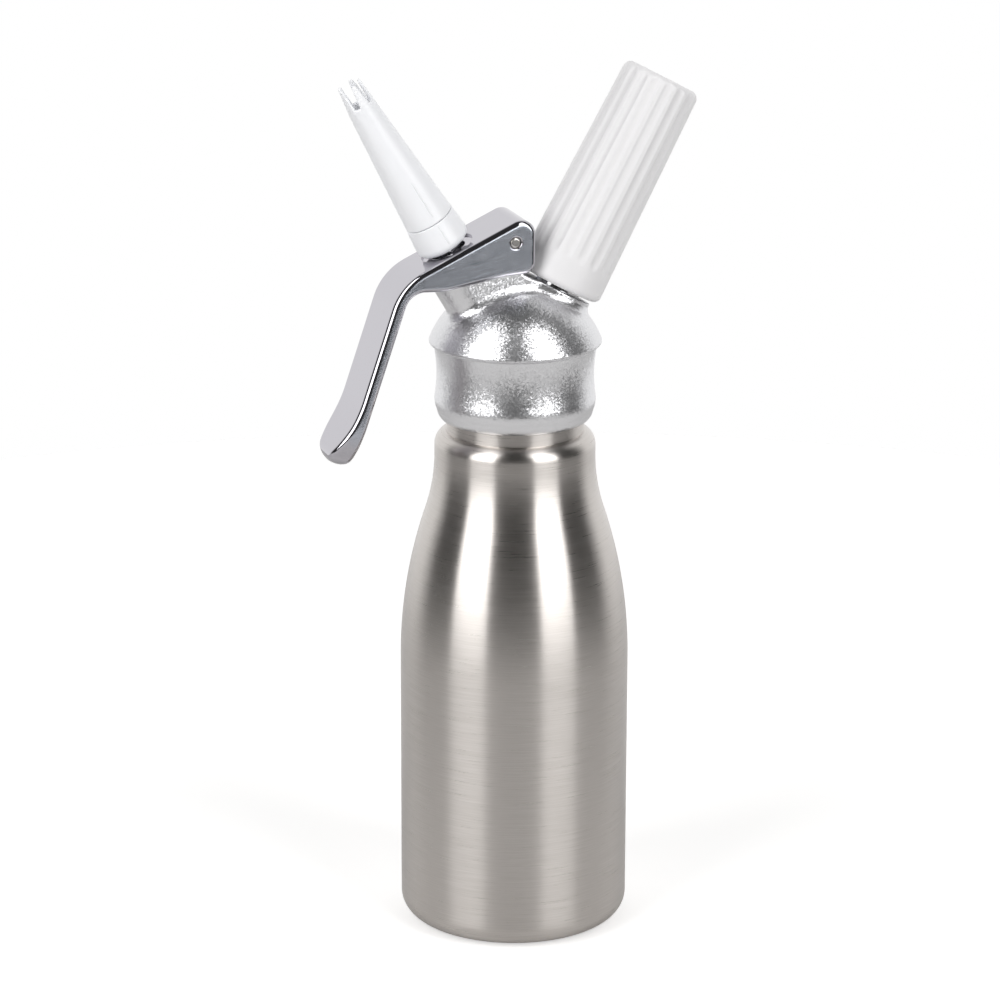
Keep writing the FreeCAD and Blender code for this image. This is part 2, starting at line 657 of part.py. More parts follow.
def valve_stem():
    """Hollow stem with its valve disc; the cross holes take the cream in above the seat."""
    foot = POPPET_TOP - POPPET_THICK
    neck_top = SEAT_AT + STEM_NECK_LONG
    port = SEAT_AT + STEM_PORT_RISE
    body = turned(outline([
        (0, foot),
        (POPPET_R, foot, BREAK),
        (POPPET_R, POPPET_TOP),
        (STEM_NECK_R, POPPET_TOP),
        (STEM_NECK_R, neck_top),
        (STEM_R, neck_top + STEM_R - STEM_NECK_R),
        (STEM_R, STEM_TOP),
        (STEM_BORE_R, STEM_TOP),
        (STEM_BORE_R, port - STEM_PORT_R - STEM_BORE_DROP),
        (0, port - STEM_PORT_R - STEM_BORE_DROP - STEM_BORE_CONE),
    ]))
    for across in (Vector(1, 0, 0), Vector(0, 1, 0)):
        start = Vector(0, 0, port) - across * (2 * STEM_R)
        body = body.cut(Part.makeCylinder(STEM_PORT_R, 4 * STEM_R, start, across))
    return on_valve(body)


def stem_seal():
    return on_valve(ring(STEM_NECK_R + SLIP, SEAL_R, POPPET_TOP, SEAL_TOP))


def stem_collar():
    """Flange that the lever presses on, with the hexagon that stands in the lever's hole."""
    corner = STEM_HEX / math.sqrt(3)
    corners = []
    for i in range(7):
        turn = math.radians(90 + 60 * i)
        corners.append(Vector(corner * math.cos(turn), corner * math.sin(turn), STEM_COLLAR_TOP - BURY))
    hexagon = Part.Face(Part.makePolygon(corners)).extrude(Vector(0, 0, ADAPTER_FOOT - STEM_COLLAR_TOP + BURY))
    flange = rod(STEM_COLLAR_R, STEM_COLLAR_TOP - STEM_COLLAR_THICK, STEM_COLLAR_TOP)
    bore = rod(STEM_R + SLIP, STEM_COLLAR_TOP - STEM_COLLAR_THICK - 1, ADAPTER_FOOT + 1)
    return on_valve(flange.fuse(hexagon).cut(bore))


def mould_ribs(low, high, low_r, high_r):
    """Pair of thin moulded ribs, one on each side, on a tapered wall about Z."""
    buried = 0.6
    side = Part.makePolygon([
        Vector(-MOULD_RIB_WIDE / 2, low_r - buried, low),
        Vector(-MOULD_RIB_WIDE / 2, low_r + MOULD_RIB, low),
        Vector(-MOULD_RIB_WIDE / 2, high_r + MOULD_RIB, high),
        Vector(-MOULD_RIB_WIDE / 2, high_r - buried, high),
        Vector(-MOULD_RIB_WIDE / 2, low_r - buried, low),
    ])
    rib = Part.Face(side).extrude(Vector(MOULD_RIB_WIDE, 0, 0))
    return [rib, rib.mirror(Vector(0, 0, 0), Vector(0, 1, 0))]


def nozzle_adapter():
    """Collar screwed on the stem, with the threaded spigot for the nozzle."""
    body = turned(outline([
        (STEM_R + SLIP, ADAPTER_FOOT),
        (ADAPTER_R, ADAPTER_FOOT, ADAPTER_CORNER_R),
        (ADAPTER_TOP_R, ADAPTER_TOP, BREAK),
        (SPIGOT_R, ADAPTER_TOP),
        (SPIGOT_R, SPIGOT_TOP, BREAK),
        (SPIGOT_BORE_R, SPIGOT_TOP),
        (SPIGOT_BORE_R, STEM_TOP),
        (STEM_R + SLIP, STEM_TOP),
    ]))
    taper = (ADAPTER_R - ADAPTER_TOP_R) / (ADAPTER_TOP - ADAPTER_FOOT)
    low = ADAPTER_FOOT + ADAPTER_CORNER_R
    high = ADAPTER_TOP - MOULD_RIB_STOP
    ribs = mould_ribs(low, high, ADAPTER_R - taper * (low - ADAPTER_FOOT),
                      ADAPTER_TOP_R + taper * MOULD_RIB_STOP)
    thread = ridge(SPIGOT_R, NOZZLE_THREAD_HIGH, NOZZLE_PITCH, NOZZLE_TURNS, NOZZLE_THREAD_AT,
                   FINE_THREAD_WIDE, FINE_THREAD_CREST)
    return on_valve(body.fuse(ribs + [thread]))


NOZZLE_RING_AT = SPIGOT_TOP + NOZZLE_RING_WIRE_R + FACE_GAP
NOZZLE_LEDGE = NOZZLE_RING_AT + NOZZLE_RING_WIRE_R + FACE_GAP
NOZZLE_BORE_R = SPIGOT_R + NOZZLE_THREAD_HIGH + THREAD_GAP


def nozzle_ring():
    centre_r = NOZZLE_BORE_R - 2 * THREAD_GAP - NOZZLE_RING_WIRE_R
    return on_valve(Part.makeTorus(centre_r, NOZZLE_RING_WIRE_R, Vector(0, 0, NOZZLE_RING_AT)))


def slot_cutter():
    """Wedge through the wall at the tip, wider at the mouth, that also rounds the prongs beside it."""
    low = NOZZLE_TIP - SLOT_LONG
    shelf = SLOT_MOUTH / 2 + 2 * PRONG_ROUND
    high = NOZZLE_TIP + CLEAR
    face = Part.Face(outline([
        (-SLOT_WIDE / 2, low),
        (-SLOT_MOUTH / 2, NOZZLE_TIP, PRONG_ROUND),
        (-shelf, NOZZLE_TIP),
        (-shelf, high),
        (shelf, high),
        (shelf, NOZZLE_TIP),
        (SLOT_MOUTH / 2, NOZZLE_TIP, PRONG_ROUND),
        (SLOT_WIDE / 2, low),
    ]))
    face.translate(Vector(0, -NOZZLE_R, 0))
    return face.extrude(Vector(0, NOZZLE_R - SLOT_INNER_R, 0))


def decorator_nozzle():
    """Tapered nozzle; the slots at its tip leave prongs with rounded ends."""
    foot = ADAPTER_TOP + NOZZLE_GAP
    body = turned(outline([
        (NOZZLE_BORE_R, foot),
        (NOZZLE_R, foot, BREAK),
        (NOZZLE_TIP_R, NOZZLE_TIP),
        (NOZZLE_TIP_R - NOZZLE_WALL, NOZZLE_TIP),
        (NOZZLE_LEDGE_R, NOZZLE_LEDGE),
        (NOZZLE_BORE_R, NOZZLE_LEDGE),
    ]))
    cutters = []
    for i in range(SLOT_COUNT):
        cutter = slot_cutter()
        cutter.rotate(Vector(0, 0, 0), Vector(0, 0, 1), 90.0 - SLOT_TURN + 360.0 * i / SLOT_COUNT)
        cutters.append(cutter)
    body = body.cut(cutters)
    taper = (NOZZLE_R - NOZZLE_TIP_R) / (NOZZLE_TIP - foot)
    low = foot + MOULD_RIB_START
    high = low + MOULD_RIB_LONG
    ribs = mould_ribs(low, high, NOZZLE_R - taper * (low - foot), NOZZLE_R - taper * (high - foot))
    thread = ridge(NOZZLE_BORE_R, -NOZZLE_THREAD_HIGH, NOZZLE_PITCH, NOZZLE_TURNS + 0.5,
                   NOZZLE_THREAD_AT - NOZZLE_PITCH / 2, FINE_THREAD_WIDE, FINE_THREAD_CREST)
    return on_valve(body.fuse(ribs + [thread]))


def lever_line(distance, x):
    """Height at x of the line that runs along the lever's top slope at a distance from the pin's centre."""
    slope = math.radians(LEVER_TOP_SLOPE)
    return PIN_Z + distance / math.cos(slope) + (x - PIN_X) * math.tan(slope)


def past(point, start, extra):
    """Point moved on along the line that comes from a start."""
    along = Vector(*point, 0) - Vector(*start, 0)
    moved = Vector(*point, 0) + along.normalize() * extra
    return moved.x, moved.y


def lever_side():
    """Side view of the lever, from its end behind the pin round to the open end of the arm and back."""
    return outline([
        (LEVER_END_X, lever_line(LEVER_TOP_RISE, LEVER_END_X), LEVER_TOP_CORNER_R),
        (LEVER_END_X, CHEEK_END_Z, LEVER_LOW_CORNER_R),
        CHEEK_MID + (CHEEK_MID_R,),
        CHEEK_LOW + (CHEEK_LOW_R,),
        LEVER_ARMPIT + (LEVER_ARMPIT_R,),
        past(LEVER_TIP_IN, LEVER_ARMPIT, LEVER_EDGE_R * 2),
        past(LEVER_TIP_OUT, LEVER_FLARE, LEVER_EDGE_R * 2),
        LEVER_FLARE + (LEVER_FLARE_R,),
        LEVER_BEND + (LEVER_BEND_R,),
    ])


def lever_plan():
    """Prism that gives the lever its width and its rounded tongue, seen square to the arm."""
    half = LEVER_WIDE / 2
    arm = (Vector(LEVER_FLARE[0], 0, LEVER_FLARE[1]) - Vector(LEVER_BEND[0], 0, LEVER_BEND[1])).normalize()
    middle = (Vector(*LEVER_TIP_IN, 0) + Vector(*LEVER_TIP_OUT, 0)) * 0.5
    tip = Vector(middle.x, 0, middle.y)
    centre = tip - arm * (TONGUE_LONG + TONGUE_SHORT)
    across = Vector(0, 1, 0)
    square = arm.cross(across)
    tongue = Part.Ellipse(centre + arm * TONGUE_LONG, centre + across * half, centre)
    rounded = Part.ArcOfEllipse(tongue, -math.pi / 2, math.pi / 2).toShape()
    starts = [v.Point for v in rounded.Vertexes]
    far = [p - arm * LEVER_SPAN for p in starts]
    sides = Part.makePolygon([starts[1], far[1], far[0], starts[0]])
    face = Part.Face(Part.Wire([rounded] + sides.Edges))
    face.translate(square * -LEVER_SPAN)
    return face.extrude(square * 2 * LEVER_SPAN)


def lever_pocket():
    """Hollow between the cheeks, under the top plate."""
    half = HEAD_WEB_T / 2 + CHEEK_GAP
    under = LEVER_TOP_RISE - LEVER_PLATE
    wall_x = LEVER_END_X - LEVER_END_WALL
    wall_low = PIN_Z + LEVER_END_WALL_LOW
    low = LEVER_ARMPIT[1] - CLEAR
    return slab(outline([
        (LEVER_END_X + CLEAR, low),
        (LEVER_END_X + CLEAR, wall_low),
        (wall_x, wall_low),
        (wall_x, lever_line(under, wall_x), POCKET_CORNER_R),
        (POCKET_END_X, lever_line(under, POCKET_END_X), POCKET_CORNER_R),
        (POCKET_END_X, low),
    ]), half)


def lever_side_edges(body):
    """Closed loop of edges along both sides of the lever and round its tongue."""
    chosen = []
    for edge in body.Edges:
        ends = [v.Point for v in edge.Vertexes]
        middle = edge.valueAt((edge.FirstParameter + edge.LastParameter) / 2)
        runs_across = abs(ends[0].y + ends[-1].y) < 0.01 and abs(ends[0].y) > 0.1
        if not runs_across and abs(middle.y) > 0.01:
            chosen.append(edge)
    return chosen


def stem_hole():
    """Oval hole through the top plate, long in the plane of the lever."""
    low = STEM_COLLAR_TOP - CLEAR
    high = ADAPTER_FOOT + CLEAR
    shift = LEVER_HOLE_LONG - LEVER_HOLE_WIDE
    ends = [rod(LEVER_HOLE_WIDE, low, high), rod(LEVER_HOLE_WIDE, low, high)]
    ends[0].translate(Vector(-shift, 0, 0))
    ends[1].translate(Vector(shift, 0, 0))
    middle = Part.makeBox(2 * shift, 2 * LEVER_HOLE_WIDE, high - low, Vector(-shift, -LEVER_HOLE_WIDE, low))
    return on_valve(ends[0].fuse([ends[1], middle]))


def spot_face():
    """Shallow round recess in the top face, where the valve axis leaves it."""
    slope = math.radians(LEVER_TOP_SLOPE)
    square = Vector(-math.sin(slope), 0, math.cos(slope))
    start = Vector(0, 0, VALVE_CROSS_Z)
    lean = math.radians(VALVE_TILT)
    axis = Vector(-math.sin(lean), 0, math.cos(lean))
    pin = Vector(PIN_X, 0, PIN_Z)
    along = (LEVER_TOP_RISE - (start - pin).dot(square)) / axis.dot(square)
    return Part.makeCylinder(SPOT_FACE_R, CLEAR, start + axis * along - square * SPOT_FACE_DEEP, square)


def pin_holes():
    half = LEVER_WIDE / 2
    across = Vector(0, 1, 0)
    hole = Part.makeCylinder(PIN_R + RUNNING, 2 * (half + CLEAR), Vector(PIN_X, -half - CLEAR, PIN_Z), across)
    sink = half - COUNTERSINK_DEEP
    near = Part.makeCylinder(COUNTERSINK_R, CLEAR, Vector(PIN_X, -sink - CLEAR, PIN_Z), across)
    far = Part.makeCylinder(COUNTERSINK_R, CLEAR, Vector(PIN_X, sink, PIN_Z), across)
    return [hole, near, far]


def lever():
    body = slab(lever_side(), LEVER_WIDE).common(lever_plan())
    body = body.makeFillet(LEVER_EDGE_R, lever_side_edges(body))
    return body.cut([lever_pocket(), stem_hole(), spot_face()] + pin_holes())


def stub_washer():
    return on_holder(ring(GAS_HOLE_R, STUB_SHANK_R - WASHER_GAP, STUB_FOOT - STUB_WASHER_THICK, STUB_FOOT))


def check_valve():
    return on_holder(rod(CHECK_ROOM_R - CHECK_DISC_GAP, CHECK_ROOM_TOP - CHECK_DISC_THICK, CHECK_ROOM_TOP))


def inlet_screw():
    """Slotted hollow screw that holds the check disc against its seat."""
    top = CHECK_ROOM_TOP - CHECK_DISC_THICK
    low = top - INLET_SCREW_LONG
    dish_r = CHECK_ROOM_R - INLET_DISH_RIM
    body = turned(outline([
        (INLET_HOLE_R, low),
        (CHECK_ROOM_R - SLIP, low, BREAK),
        (CHECK_ROOM_R - SLIP, top),
        (dish_r, top),
        (INLET_HOLE_R, top - INLET_DISH_DEEP),
    ]))
    slot = Part.makeBox(4 * CHECK_ROOM_R, INLET_SLOT_WIDE, INLET_SLOT_DEEP + 1,
                        Vector(-2 * CHECK_ROOM_R, -INLET_SLOT_WIDE / 2, low - 1))
    return on_holder(body.cut(slot))


def charger_stub():
    """Threaded stub screwed into the head, with the socket for the charger's neck."""
    body = turned(outline([
        (GAS_HOLE_R, STUB_FOOT),
        (STUB_SHANK_R, STUB_FOOT, BREAK),
        (STUB_SHANK_R, RIM_TOP),
        (STUB_RELIEF_R, RIM_TOP),
        (STUB_RELIEF_R, STUB_RELIEF_TOP),
        (STUB_ROOT_R, STUB_RELIEF_TOP + STUB_ROOT_R - STUB_RELIEF_R),
        (STUB_ROOT_R, STUB_TOP, 2 * BREAK),
        (STUB_SOCKET_R, STUB_TOP, BREAK),
        (STUB_SOCKET_R, STUB_SOCKET_FLOOR),
        (PIERCER_R + SLIP, STUB_SOCKET_FLOOR),
        (PIERCER_R + SLIP, PIERCER_FOOT),
        (GAS_HOLE_R, PIERCER_FOOT),
    ]))
    thread = ridge(STUB_ROOT_R, HOLDER_THREAD_HIGH, HOLDER_PITCH, STUB_TURNS, HOLDER_THREAD_AT,
                   FINE_THREAD_WIDE, FINE_THREAD_CREST)
    return on_holder(body.fuse(thread))


def piercing_pin():
    return on_holder(turned(outline([
        (PIERCER_BORE_R, PIERCER_FOOT),
        (PIERCER_R, PIERCER_FOOT, BREAK),
        (PIERCER_R, STUB_SOCKET_FLOOR),
        (PIERCER_NEEDLE_R, STUB_SOCKET_FLOOR),
        (PIERCER_NEEDLE_R, PIERCER_TIP - PIERCER_POINT),
        (PIERCER_BORE_R + PIERCER_TIP_WALL, PIERCER_TIP),
        (PIERCER_BORE_R, PIERCER_TIP),
    ])))


def pin_gasket():
    return on_holder(ring(PIN_GASKET_BORE_R, STUB_SOCKET_R - SLIP, STUB_SOCKET_FLOOR,
                          STUB_SOCKET_FLOOR + PIN_GASKET_THICK))


def charger_form(neck_r, wall, face):
    """Charger as a full body; the space inside is drawn in by the wall's thickness."""
    shoulder = CHARGER_FACE + CHARGER_NECK_LONG + wall * 0.4
    return turned(outline([
        (0, face),
        (neck_r, face),
        (neck_r, shoulder, CHARGER_NECK_ROUND),
        (CHARGER_R - wall, shoulder + CHARGER_SHOULDER_LONG, CHARGER_SHOULDER_ROUND - wall),
        (CHARGER_R - wall, CHARGER_END - wall, CHARGER_END_ROUND - wall),
        (0, CHARGER_END - wall),
    ]))


def gas_charger():
    full = charger_form(CHARGER_NECK_R, 0.0, CHARGER_FACE)
    space = charger_form(CHARGER_MOUTH_R, CHARGER_WALL, CHARGER_FACE - 1)
    return on_holder(full.cut(space))


def charger_cap():
    top = CHARGER_FACE + CHARGER_CAP_THICK
    return on_holder(ring(PIERCED_HOLE_R, CHARGER_MOUTH_R - SLIP, CHARGER_FACE, top))


INSERT_ROOT_R = STUB_ROOT_R + HOLDER_THREAD_HIGH + THREAD_GAP
INSERT_FOOT = HOLDER_FOOT + HOLDER_LIP_THICK
INSERT_TOP = INSERT_FOOT + INSERT_LONG


def flutes():
    """Cutters for the long grooves of the grip, each with a round foot."""
    lean = (HOLDER_TOP_R - HOLDER_FOOT_R) / (HOLDER_TOP - HOLDER_FOOT)
    low = HOLDER_FOOT + FLUTE_START + FLUTE_R
    high = HOLDER_TOP + CLEAR
    out = FLUTE_R - FLUTE_DEEP
    start = Vector(HOLDER_FOOT_R + lean * (low - HOLDER_FOOT) + out, 0, low)
    end = Vector(HOLDER_FOOT_R + lean * (high - HOLDER_FOOT) + out, 0, high)
    cutter = Part.makeCylinder(FLUTE_R, (end - start).Length, start, end - start)
    cutter = cutter.fuse(Part.makeSphere(FLUTE_R, start))
    cutters = []
    for i in range(FLUTE_COUNT):
        turned_cutter = cutter.copy()
        turned_cutter.rotate(Vector(0, 0, 0), Vector(0, 0, 1), 360.0 * i / FLUTE_COUNT)
        cutters.append(turned_cutter)
    return cutters


def charger_holder():
    body = turned(outline([
        (0, HOLDER_TOP),
        (HOLDER_TOP_R, HOLDER_TOP, HOLDER_TOP_CORNER_R),
        (HOLDER_FOOT_R, HOLDER_FOOT, HOLDER_FOOT_CORNER_R),
        (HOLDER_LIP_R, HOLDER_FOOT, BREAK),
        (HOLDER_LIP_R, INSERT_FOOT),
        (INSERT_ROOT_R + INSERT_WALL + SLIP, INSERT_FOOT),
        (INSERT_ROOT_R + INSERT_WALL + SLIP, INSERT_TOP),
        (HOLDER_BORE_R, INSERT_TOP),
        (HOLDER_BORE_R, PAD_FOOT + PAD_THICK),
        (0, PAD_FOOT + PAD_THICK),
    ]))
    return on_holder(body.cut(flutes()))


def holder_insert():
    body = ring(INSERT_ROOT_R, INSERT_ROOT_R + INSERT_WALL, INSERT_FOOT, INSERT_TOP)
    thread = ridge(INSERT_ROOT_R, -HOLDER_THREAD_HIGH, HOLDER_PITCH, INSERT_TURNS,
                   HOLDER_THREAD_AT + HOLDER_PITCH / 2, FINE_THREAD_WIDE, FINE_THREAD_CREST)
    return on_holder(body.fuse(thread))


def holder_pad():
    return on_holder(rod(HOLDER_BORE_R - WASHER_GAP, PAD_FOOT, PAD_FOOT + PAD_THICK))


def save(name, shape):
    shape.exportStep("parts/" + name + ".step")
    box = shape.BoundBox
    print(name, len(shape.Solids), shape.isValid(), round(shape.Volume, 1),
          [round(v, 1) for v in (box.XMin, box.XMax, box.YMin, box.YMax, box.ZMin, box.ZMax)])


shell, shell_top_z = bottle_shell()
save("bottle", shell)
save("neck_ring", neck_ring(shell_top_z))
save("head_gasket", head_gasket())
save("head", head())
save("lever_pin", lever_pin())
save("guide_bush", guide_bush())
save("stem_ring", stem_ring())
save("spring_washer", spring_washer())
save("valve_spring", valve_spring())
save("valve_stem", valve_stem())
save("stem_seal", stem_seal())
save("stem_collar", stem_collar())
save("lever", lever())
save("nozzle_adapter", nozzle_adapter())
save("nozzle_ring", nozzle_ring())
save("decorator_nozzle", decorator_nozzle())
save("stub_washer", stub_washer())
save("check_valve", check_valve())
save("inlet_screw", inlet_screw())
save("charger_stub", charger_stub())
save("piercing_pin", piercing_pin())
save("pin_gasket", pin_gasket())
save("gas_charger", gas_charger())
save("charger_cap", charger_cap())
save("charger_holder", charger_holder())
save("holder_insert", holder_insert())
save("holder_pad", holder_pad())
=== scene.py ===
import json
import math

import bpy
import numpy as np
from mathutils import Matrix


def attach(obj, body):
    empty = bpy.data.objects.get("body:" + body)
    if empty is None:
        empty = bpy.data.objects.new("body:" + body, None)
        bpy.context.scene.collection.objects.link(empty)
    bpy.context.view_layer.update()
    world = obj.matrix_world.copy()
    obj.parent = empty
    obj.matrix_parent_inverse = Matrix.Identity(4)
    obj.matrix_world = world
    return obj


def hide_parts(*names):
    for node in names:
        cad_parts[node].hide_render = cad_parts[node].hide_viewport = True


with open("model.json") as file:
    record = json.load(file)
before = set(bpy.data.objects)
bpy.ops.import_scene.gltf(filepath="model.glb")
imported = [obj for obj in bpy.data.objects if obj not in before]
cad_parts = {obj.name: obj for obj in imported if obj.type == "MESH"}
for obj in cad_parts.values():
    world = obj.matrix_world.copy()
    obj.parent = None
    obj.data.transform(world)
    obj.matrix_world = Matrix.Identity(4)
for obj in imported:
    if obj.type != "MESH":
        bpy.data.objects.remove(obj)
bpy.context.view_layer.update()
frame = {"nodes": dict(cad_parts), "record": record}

nodes = frame["nodes"]


# Bottle
# Half-litre bottle drawn from stainless sheet and brushed round and round on a spindle.
# It is one skin, outside and inside, closed at the mouth and standing on its flat foot.
MM = 0.001
BODY_R = 40.0
WALL = 1.0
FOOT_CORNER_R = 7.8
SHOULDER_Z = 96.0
SHOULDER_OUT_R = 170.0
SHOULDER_IN_R = 64.0
COLLAR_R = 28.0
COLLAR_TOP_Z = 173.5
COLLAR_CORNER_R = 5.0
NECK_BAND_R = 24.0


def arc_points(centre, radius, start_deg, end_deg, step_deg=1.5):
    """Points along an arc: centre plus radius times cosine and sine of evenly spaced angles."""
    count = max(2, int(abs(end_deg - start_deg) / step_deg) + 1)
    turn = np.radians(np.linspace(start_deg, end_deg, count))
    return np.stack([centre[0] + radius * np.cos(turn), centre[1] + radius * np.sin(turn)], axis=1)


def corner_ways(corners, i):
    """At corner i: the point, the unit ways to the corners before and after, the unit way between those
    two, and half the angle that they make."""
    here = np.array(corners[i][:2])
    to_before = np.array(corners[i - 1][:2]) - here
    to_after = np.array(corners[(i + 1) % len(corners)][:2]) - here
    to_before = to_before / np.linalg.norm(to_before)
    to_after = to_after / np.linalg.norm(to_after)
    half = math.acos(float(np.clip(to_before @ to_after, -1, 1))) / 2
    middle = (to_before + to_after) / np.linalg.norm(to_before + to_after)
    return here, to_before, to_after, middle, half


def rounded(corners, step_deg=6.0):
    """Closed outline through corners (a, b, radius): at each, an arc tangent to both sides."""
    points = []
    for i, (_, _, radius) in enumerate(corners):
        here, to_before, to_after, middle, half = corner_ways(corners, i)
        if radius <= 0:
            points.append(here[None])
            continue
        centre = here + middle * radius / math.sin(half)
        start = here + to_before * radius / math.tan(half) - centre
        end = here + to_after * radius / math.tan(half) - centre
        first = math.degrees(math.atan2(start[1], start[0]))
        sweep = (math.degrees(math.atan2(end[1], end[0])) - first + 180) % 360 - 180
        points.append(arc_points(centre, radius, first, first + sweep, step_deg))
    return np.concatenate(points)


def divided(outline, longest):
    """The same closed outline with its long straight runs cut into shorter, even ones."""
    following = np.roll(outline, -1, axis=0)
    pieces = []
    for start, end in zip(outline, following):
        count = max(1, math.ceil(float(np.linalg.norm(end - start)) / longest))
        share = np.arange(count)[:, None] / count
        pieces.append(start + (end - start) * share)
    return np.concatenate(pieces)


def leaning(points, tilt_deg, cross_z):
    """Points about Z turned about Y by the tilt and lifted to where the axis crosses the bottle's axis."""
    tilt = math.radians(tilt_deg)
    x = points[..., 0] * math.cos(tilt) + points[..., 2] * math.sin(tilt)
    z = -points[..., 0] * math.sin(tilt) + points[..., 2] * math.cos(tilt) + cross_z
    return np.stack([x, points[..., 1], z], axis=-1)


def placed(name, data):
    """Object of a mesh, lamp or camera, put in the scene."""
    made = bpy.data.objects.new(name, data)
    bpy.context.scene.collection.objects.link(made)
    return made


def mesh_piece(name, points, faces, sharp_deg=35.0):
    """Mesh object from points in millimetres and faces, smooth apart from edges sharper than an angle."""
    mesh = bpy.data.meshes.new(name)
    mesh.from_pydata((points * MM).tolist(), [], faces)
    mesh.polygons.foreach_set("use_smooth", np.ones(len(mesh.polygons), bool))
    mesh.set_sharp_from_angle(angle=math.radians(sharp_deg))
    mesh.update()
    return placed(name, mesh)


def lathe(name, outline, segments, tilt_deg=0.0, cross_z=0.0, radius_change=None, sharp_deg=35.0):
    """Closed outline (radius, height) turned about an axis. Rows on the axis become one point each.
    radius_change(radius, height, turn) may change the radius with the turn, as flutes do."""
    turn = np.arange(segments) * 2 * math.pi / segments
    radius = np.repeat(outline[:, :1], segments, axis=1)
    height = np.repeat(outline[:, 1:], segments, axis=1)
    if radius_change is not None:
        radius = radius_change(radius, height, turn[None, :])
    grid = np.stack([radius * np.cos(turn), radius * np.sin(turn), height], axis=-1)
    on_axis = outline[:, 0] < 1e-6
    sizes = np.where(on_axis, 1, segments)
    starts = np.concatenate([[0], np.cumsum(sizes)[:-1]])
    points = np.concatenate([row[:size] for row, size in zip(grid, sizes)])
    around = np.arange(segments)
    onward = (around + 1) % segments
    faces = []
    for i in range(len(outline)):
        k = (i + 1) % len(outline)
        if on_axis[i] and on_axis[k]:
            continue
        if on_axis[i]:
            band = np.stack([np.full(segments, starts[i]), starts[k] + onward, starts[k] + around], axis=1)
        elif on_axis[k]:
            band = np.stack([starts[i] + around, starts[i] + onward, np.full(segments, starts[k])], axis=1)
        else:
            band = np.stack([starts[i] + around, starts[i] + onward,
                             starts[k] + onward, starts[k] + around], axis=1)
        faces.extend(band.tolist())
    return mesh_piece(name, leaning(points, tilt_deg, cross_z), faces, sharp_deg)


def bottle_side(inset):
    """One wall of the bottle from foot to mouth: foot arc, side, two shoulder arcs and neck corner."""
    out_centre = (BODY_R - SHOULDER_OUT_R, SHOULDER_Z)
    reach = SHOULDER_OUT_R + SHOULDER_IN_R
    lean = math.degrees(math.acos((COLLAR_R + SHOULDER_IN_R - out_centre[0]) / reach))
    in_centre = (COLLAR_R + SHOULDER_IN_R, SHOULDER_Z + reach * math.sin(math.radians(lean)))
    corner = (COLLAR_R - COLLAR_CORNER_R, COLLAR_TOP_Z)
    neck_turn = math.degrees(math.acos((NECK_BAND_R - corner[0]) / COLLAR_CORNER_R))
    side = np.stack([np.full(40, BODY_R - inset), np.linspace(FOOT_CORNER_R, SHOULDER_Z, 40)], axis=1)
    return np.concatenate([
        arc_points((BODY_R - FOOT_CORNER_R, FOOT_CORNER_R), FOOT_CORNER_R - inset, -90, 0, 5),
        side[1:-1],
        arc_points(out_centre, SHOULDER_OUT_R - inset, 0, lean, 0.6),
        arc_points(in_centre, SHOULDER_IN_R + inset, 180 + lean, 180, 1.2)[1:],
        arc_points(corner, COLLAR_CORNER_R - inset, 0, neck_turn, 6),
    ])


outside = bottle_side(0.0)
inside = bottle_side(WALL)
mouth_r = NECK_BAND_R - WALL
inside = inside[inside[:, 0] > mouth_r]
bottle_outline = np.concatenate([
    [[0.0, 0.0], [16.0, 0.0]], outside, [[mouth_r, outside[-1, 1]]], inside[::-1], [[0.0, WALL]]])
bottle = lathe("bottle_body", bottle_outline, 300)
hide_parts("bottle")
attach(bottle, "bottle")


def colour(text):
    """sRGB hex colour as linear red, green, blue and alpha."""
    parts = [int(text[i:i + 2], 16) / 255 for i in (1, 3, 5)]
    linear = [c / 12.92 if c <= 0.04045 else ((c + 0.055) / 1.055) ** 2.4 for c in parts]
    return (*linear, 1.0)


def new_material(name, **values):
    """Material with one Principled shader; values are its sockets, with spaces as underscores."""
    material = bpy.data.materials.new(name)
    material.use_nodes = True
    shader = material.node_tree.nodes["Principled BSDF"]
    for key, value in values.items():
        shader.inputs[key.replace("_", " ")].default_value = value
    return material, material.node_tree, shader


def add(tree, kind, inputs=None, **settings):
    """Adds a shader node. settings are its properties; inputs gives its sockets a value or a link."""
    made = tree.nodes.new("ShaderNode" + kind)
    for key, value in settings.items():
        setattr(made, key, value)
    for key, value in (inputs or {}).items():
        socket = made.inputs[key]
        if isinstance(value, bpy.types.NodeSocket):
            tree.links.new(value, socket)
        else:
            socket.default_value = value
    return made


def dress(piece, material):
    """Gives a piece or a CAD node one material."""
    piece.data.materials.clear()
    piece.data.materials.append(material)


# Brushed stainless steel: a belt leaves hair-fine scratches round the bottle, which draw every
# reflection out into soft upright bands. Scratches are drawn 0.35 mm high to show in the picture.
SCRATCH_HIGH = 0.35
SCRATCH_LONG = 18.0
brushed_steel, tree, shader = new_material("brushed_stainless_steel", Metallic=1.0, Anisotropic=0.88,
                                           Anisotropic_Rotation=0.25)
place = add(tree, "TexCoord").outputs["Object"]
stretched = add(tree, "Mapping", {"Vector": place, "Scale": (1 / (SCRATCH_LONG * MM), 1 / (SCRATCH_LONG * MM),
                                                             1 / (SCRATCH_HIGH * MM))})
scratches = add(tree, "TexNoise", {"Vector": stretched.outputs[0], "Scale": 1.0, "Detail": 3.0,
                                   "Roughness": 0.65})
tone = add(tree, "ValToRGB", {"Fac": scratches.outputs["Fac"]})
tone.color_ramp.elements[0].position = 0.3
tone.color_ramp.elements[0].color = colour("#c6c1bc")
tone.color_ramp.elements[1].position = 0.7
tone.color_ramp.elements[1].color = colour("#d2cdc9")
gloss = add(tree, "MapRange", {"Value": scratches.outputs["Fac"], "From Min": 0.3, "From Max": 0.7,
                               "To Min": 0.27, "To Max": 0.32})
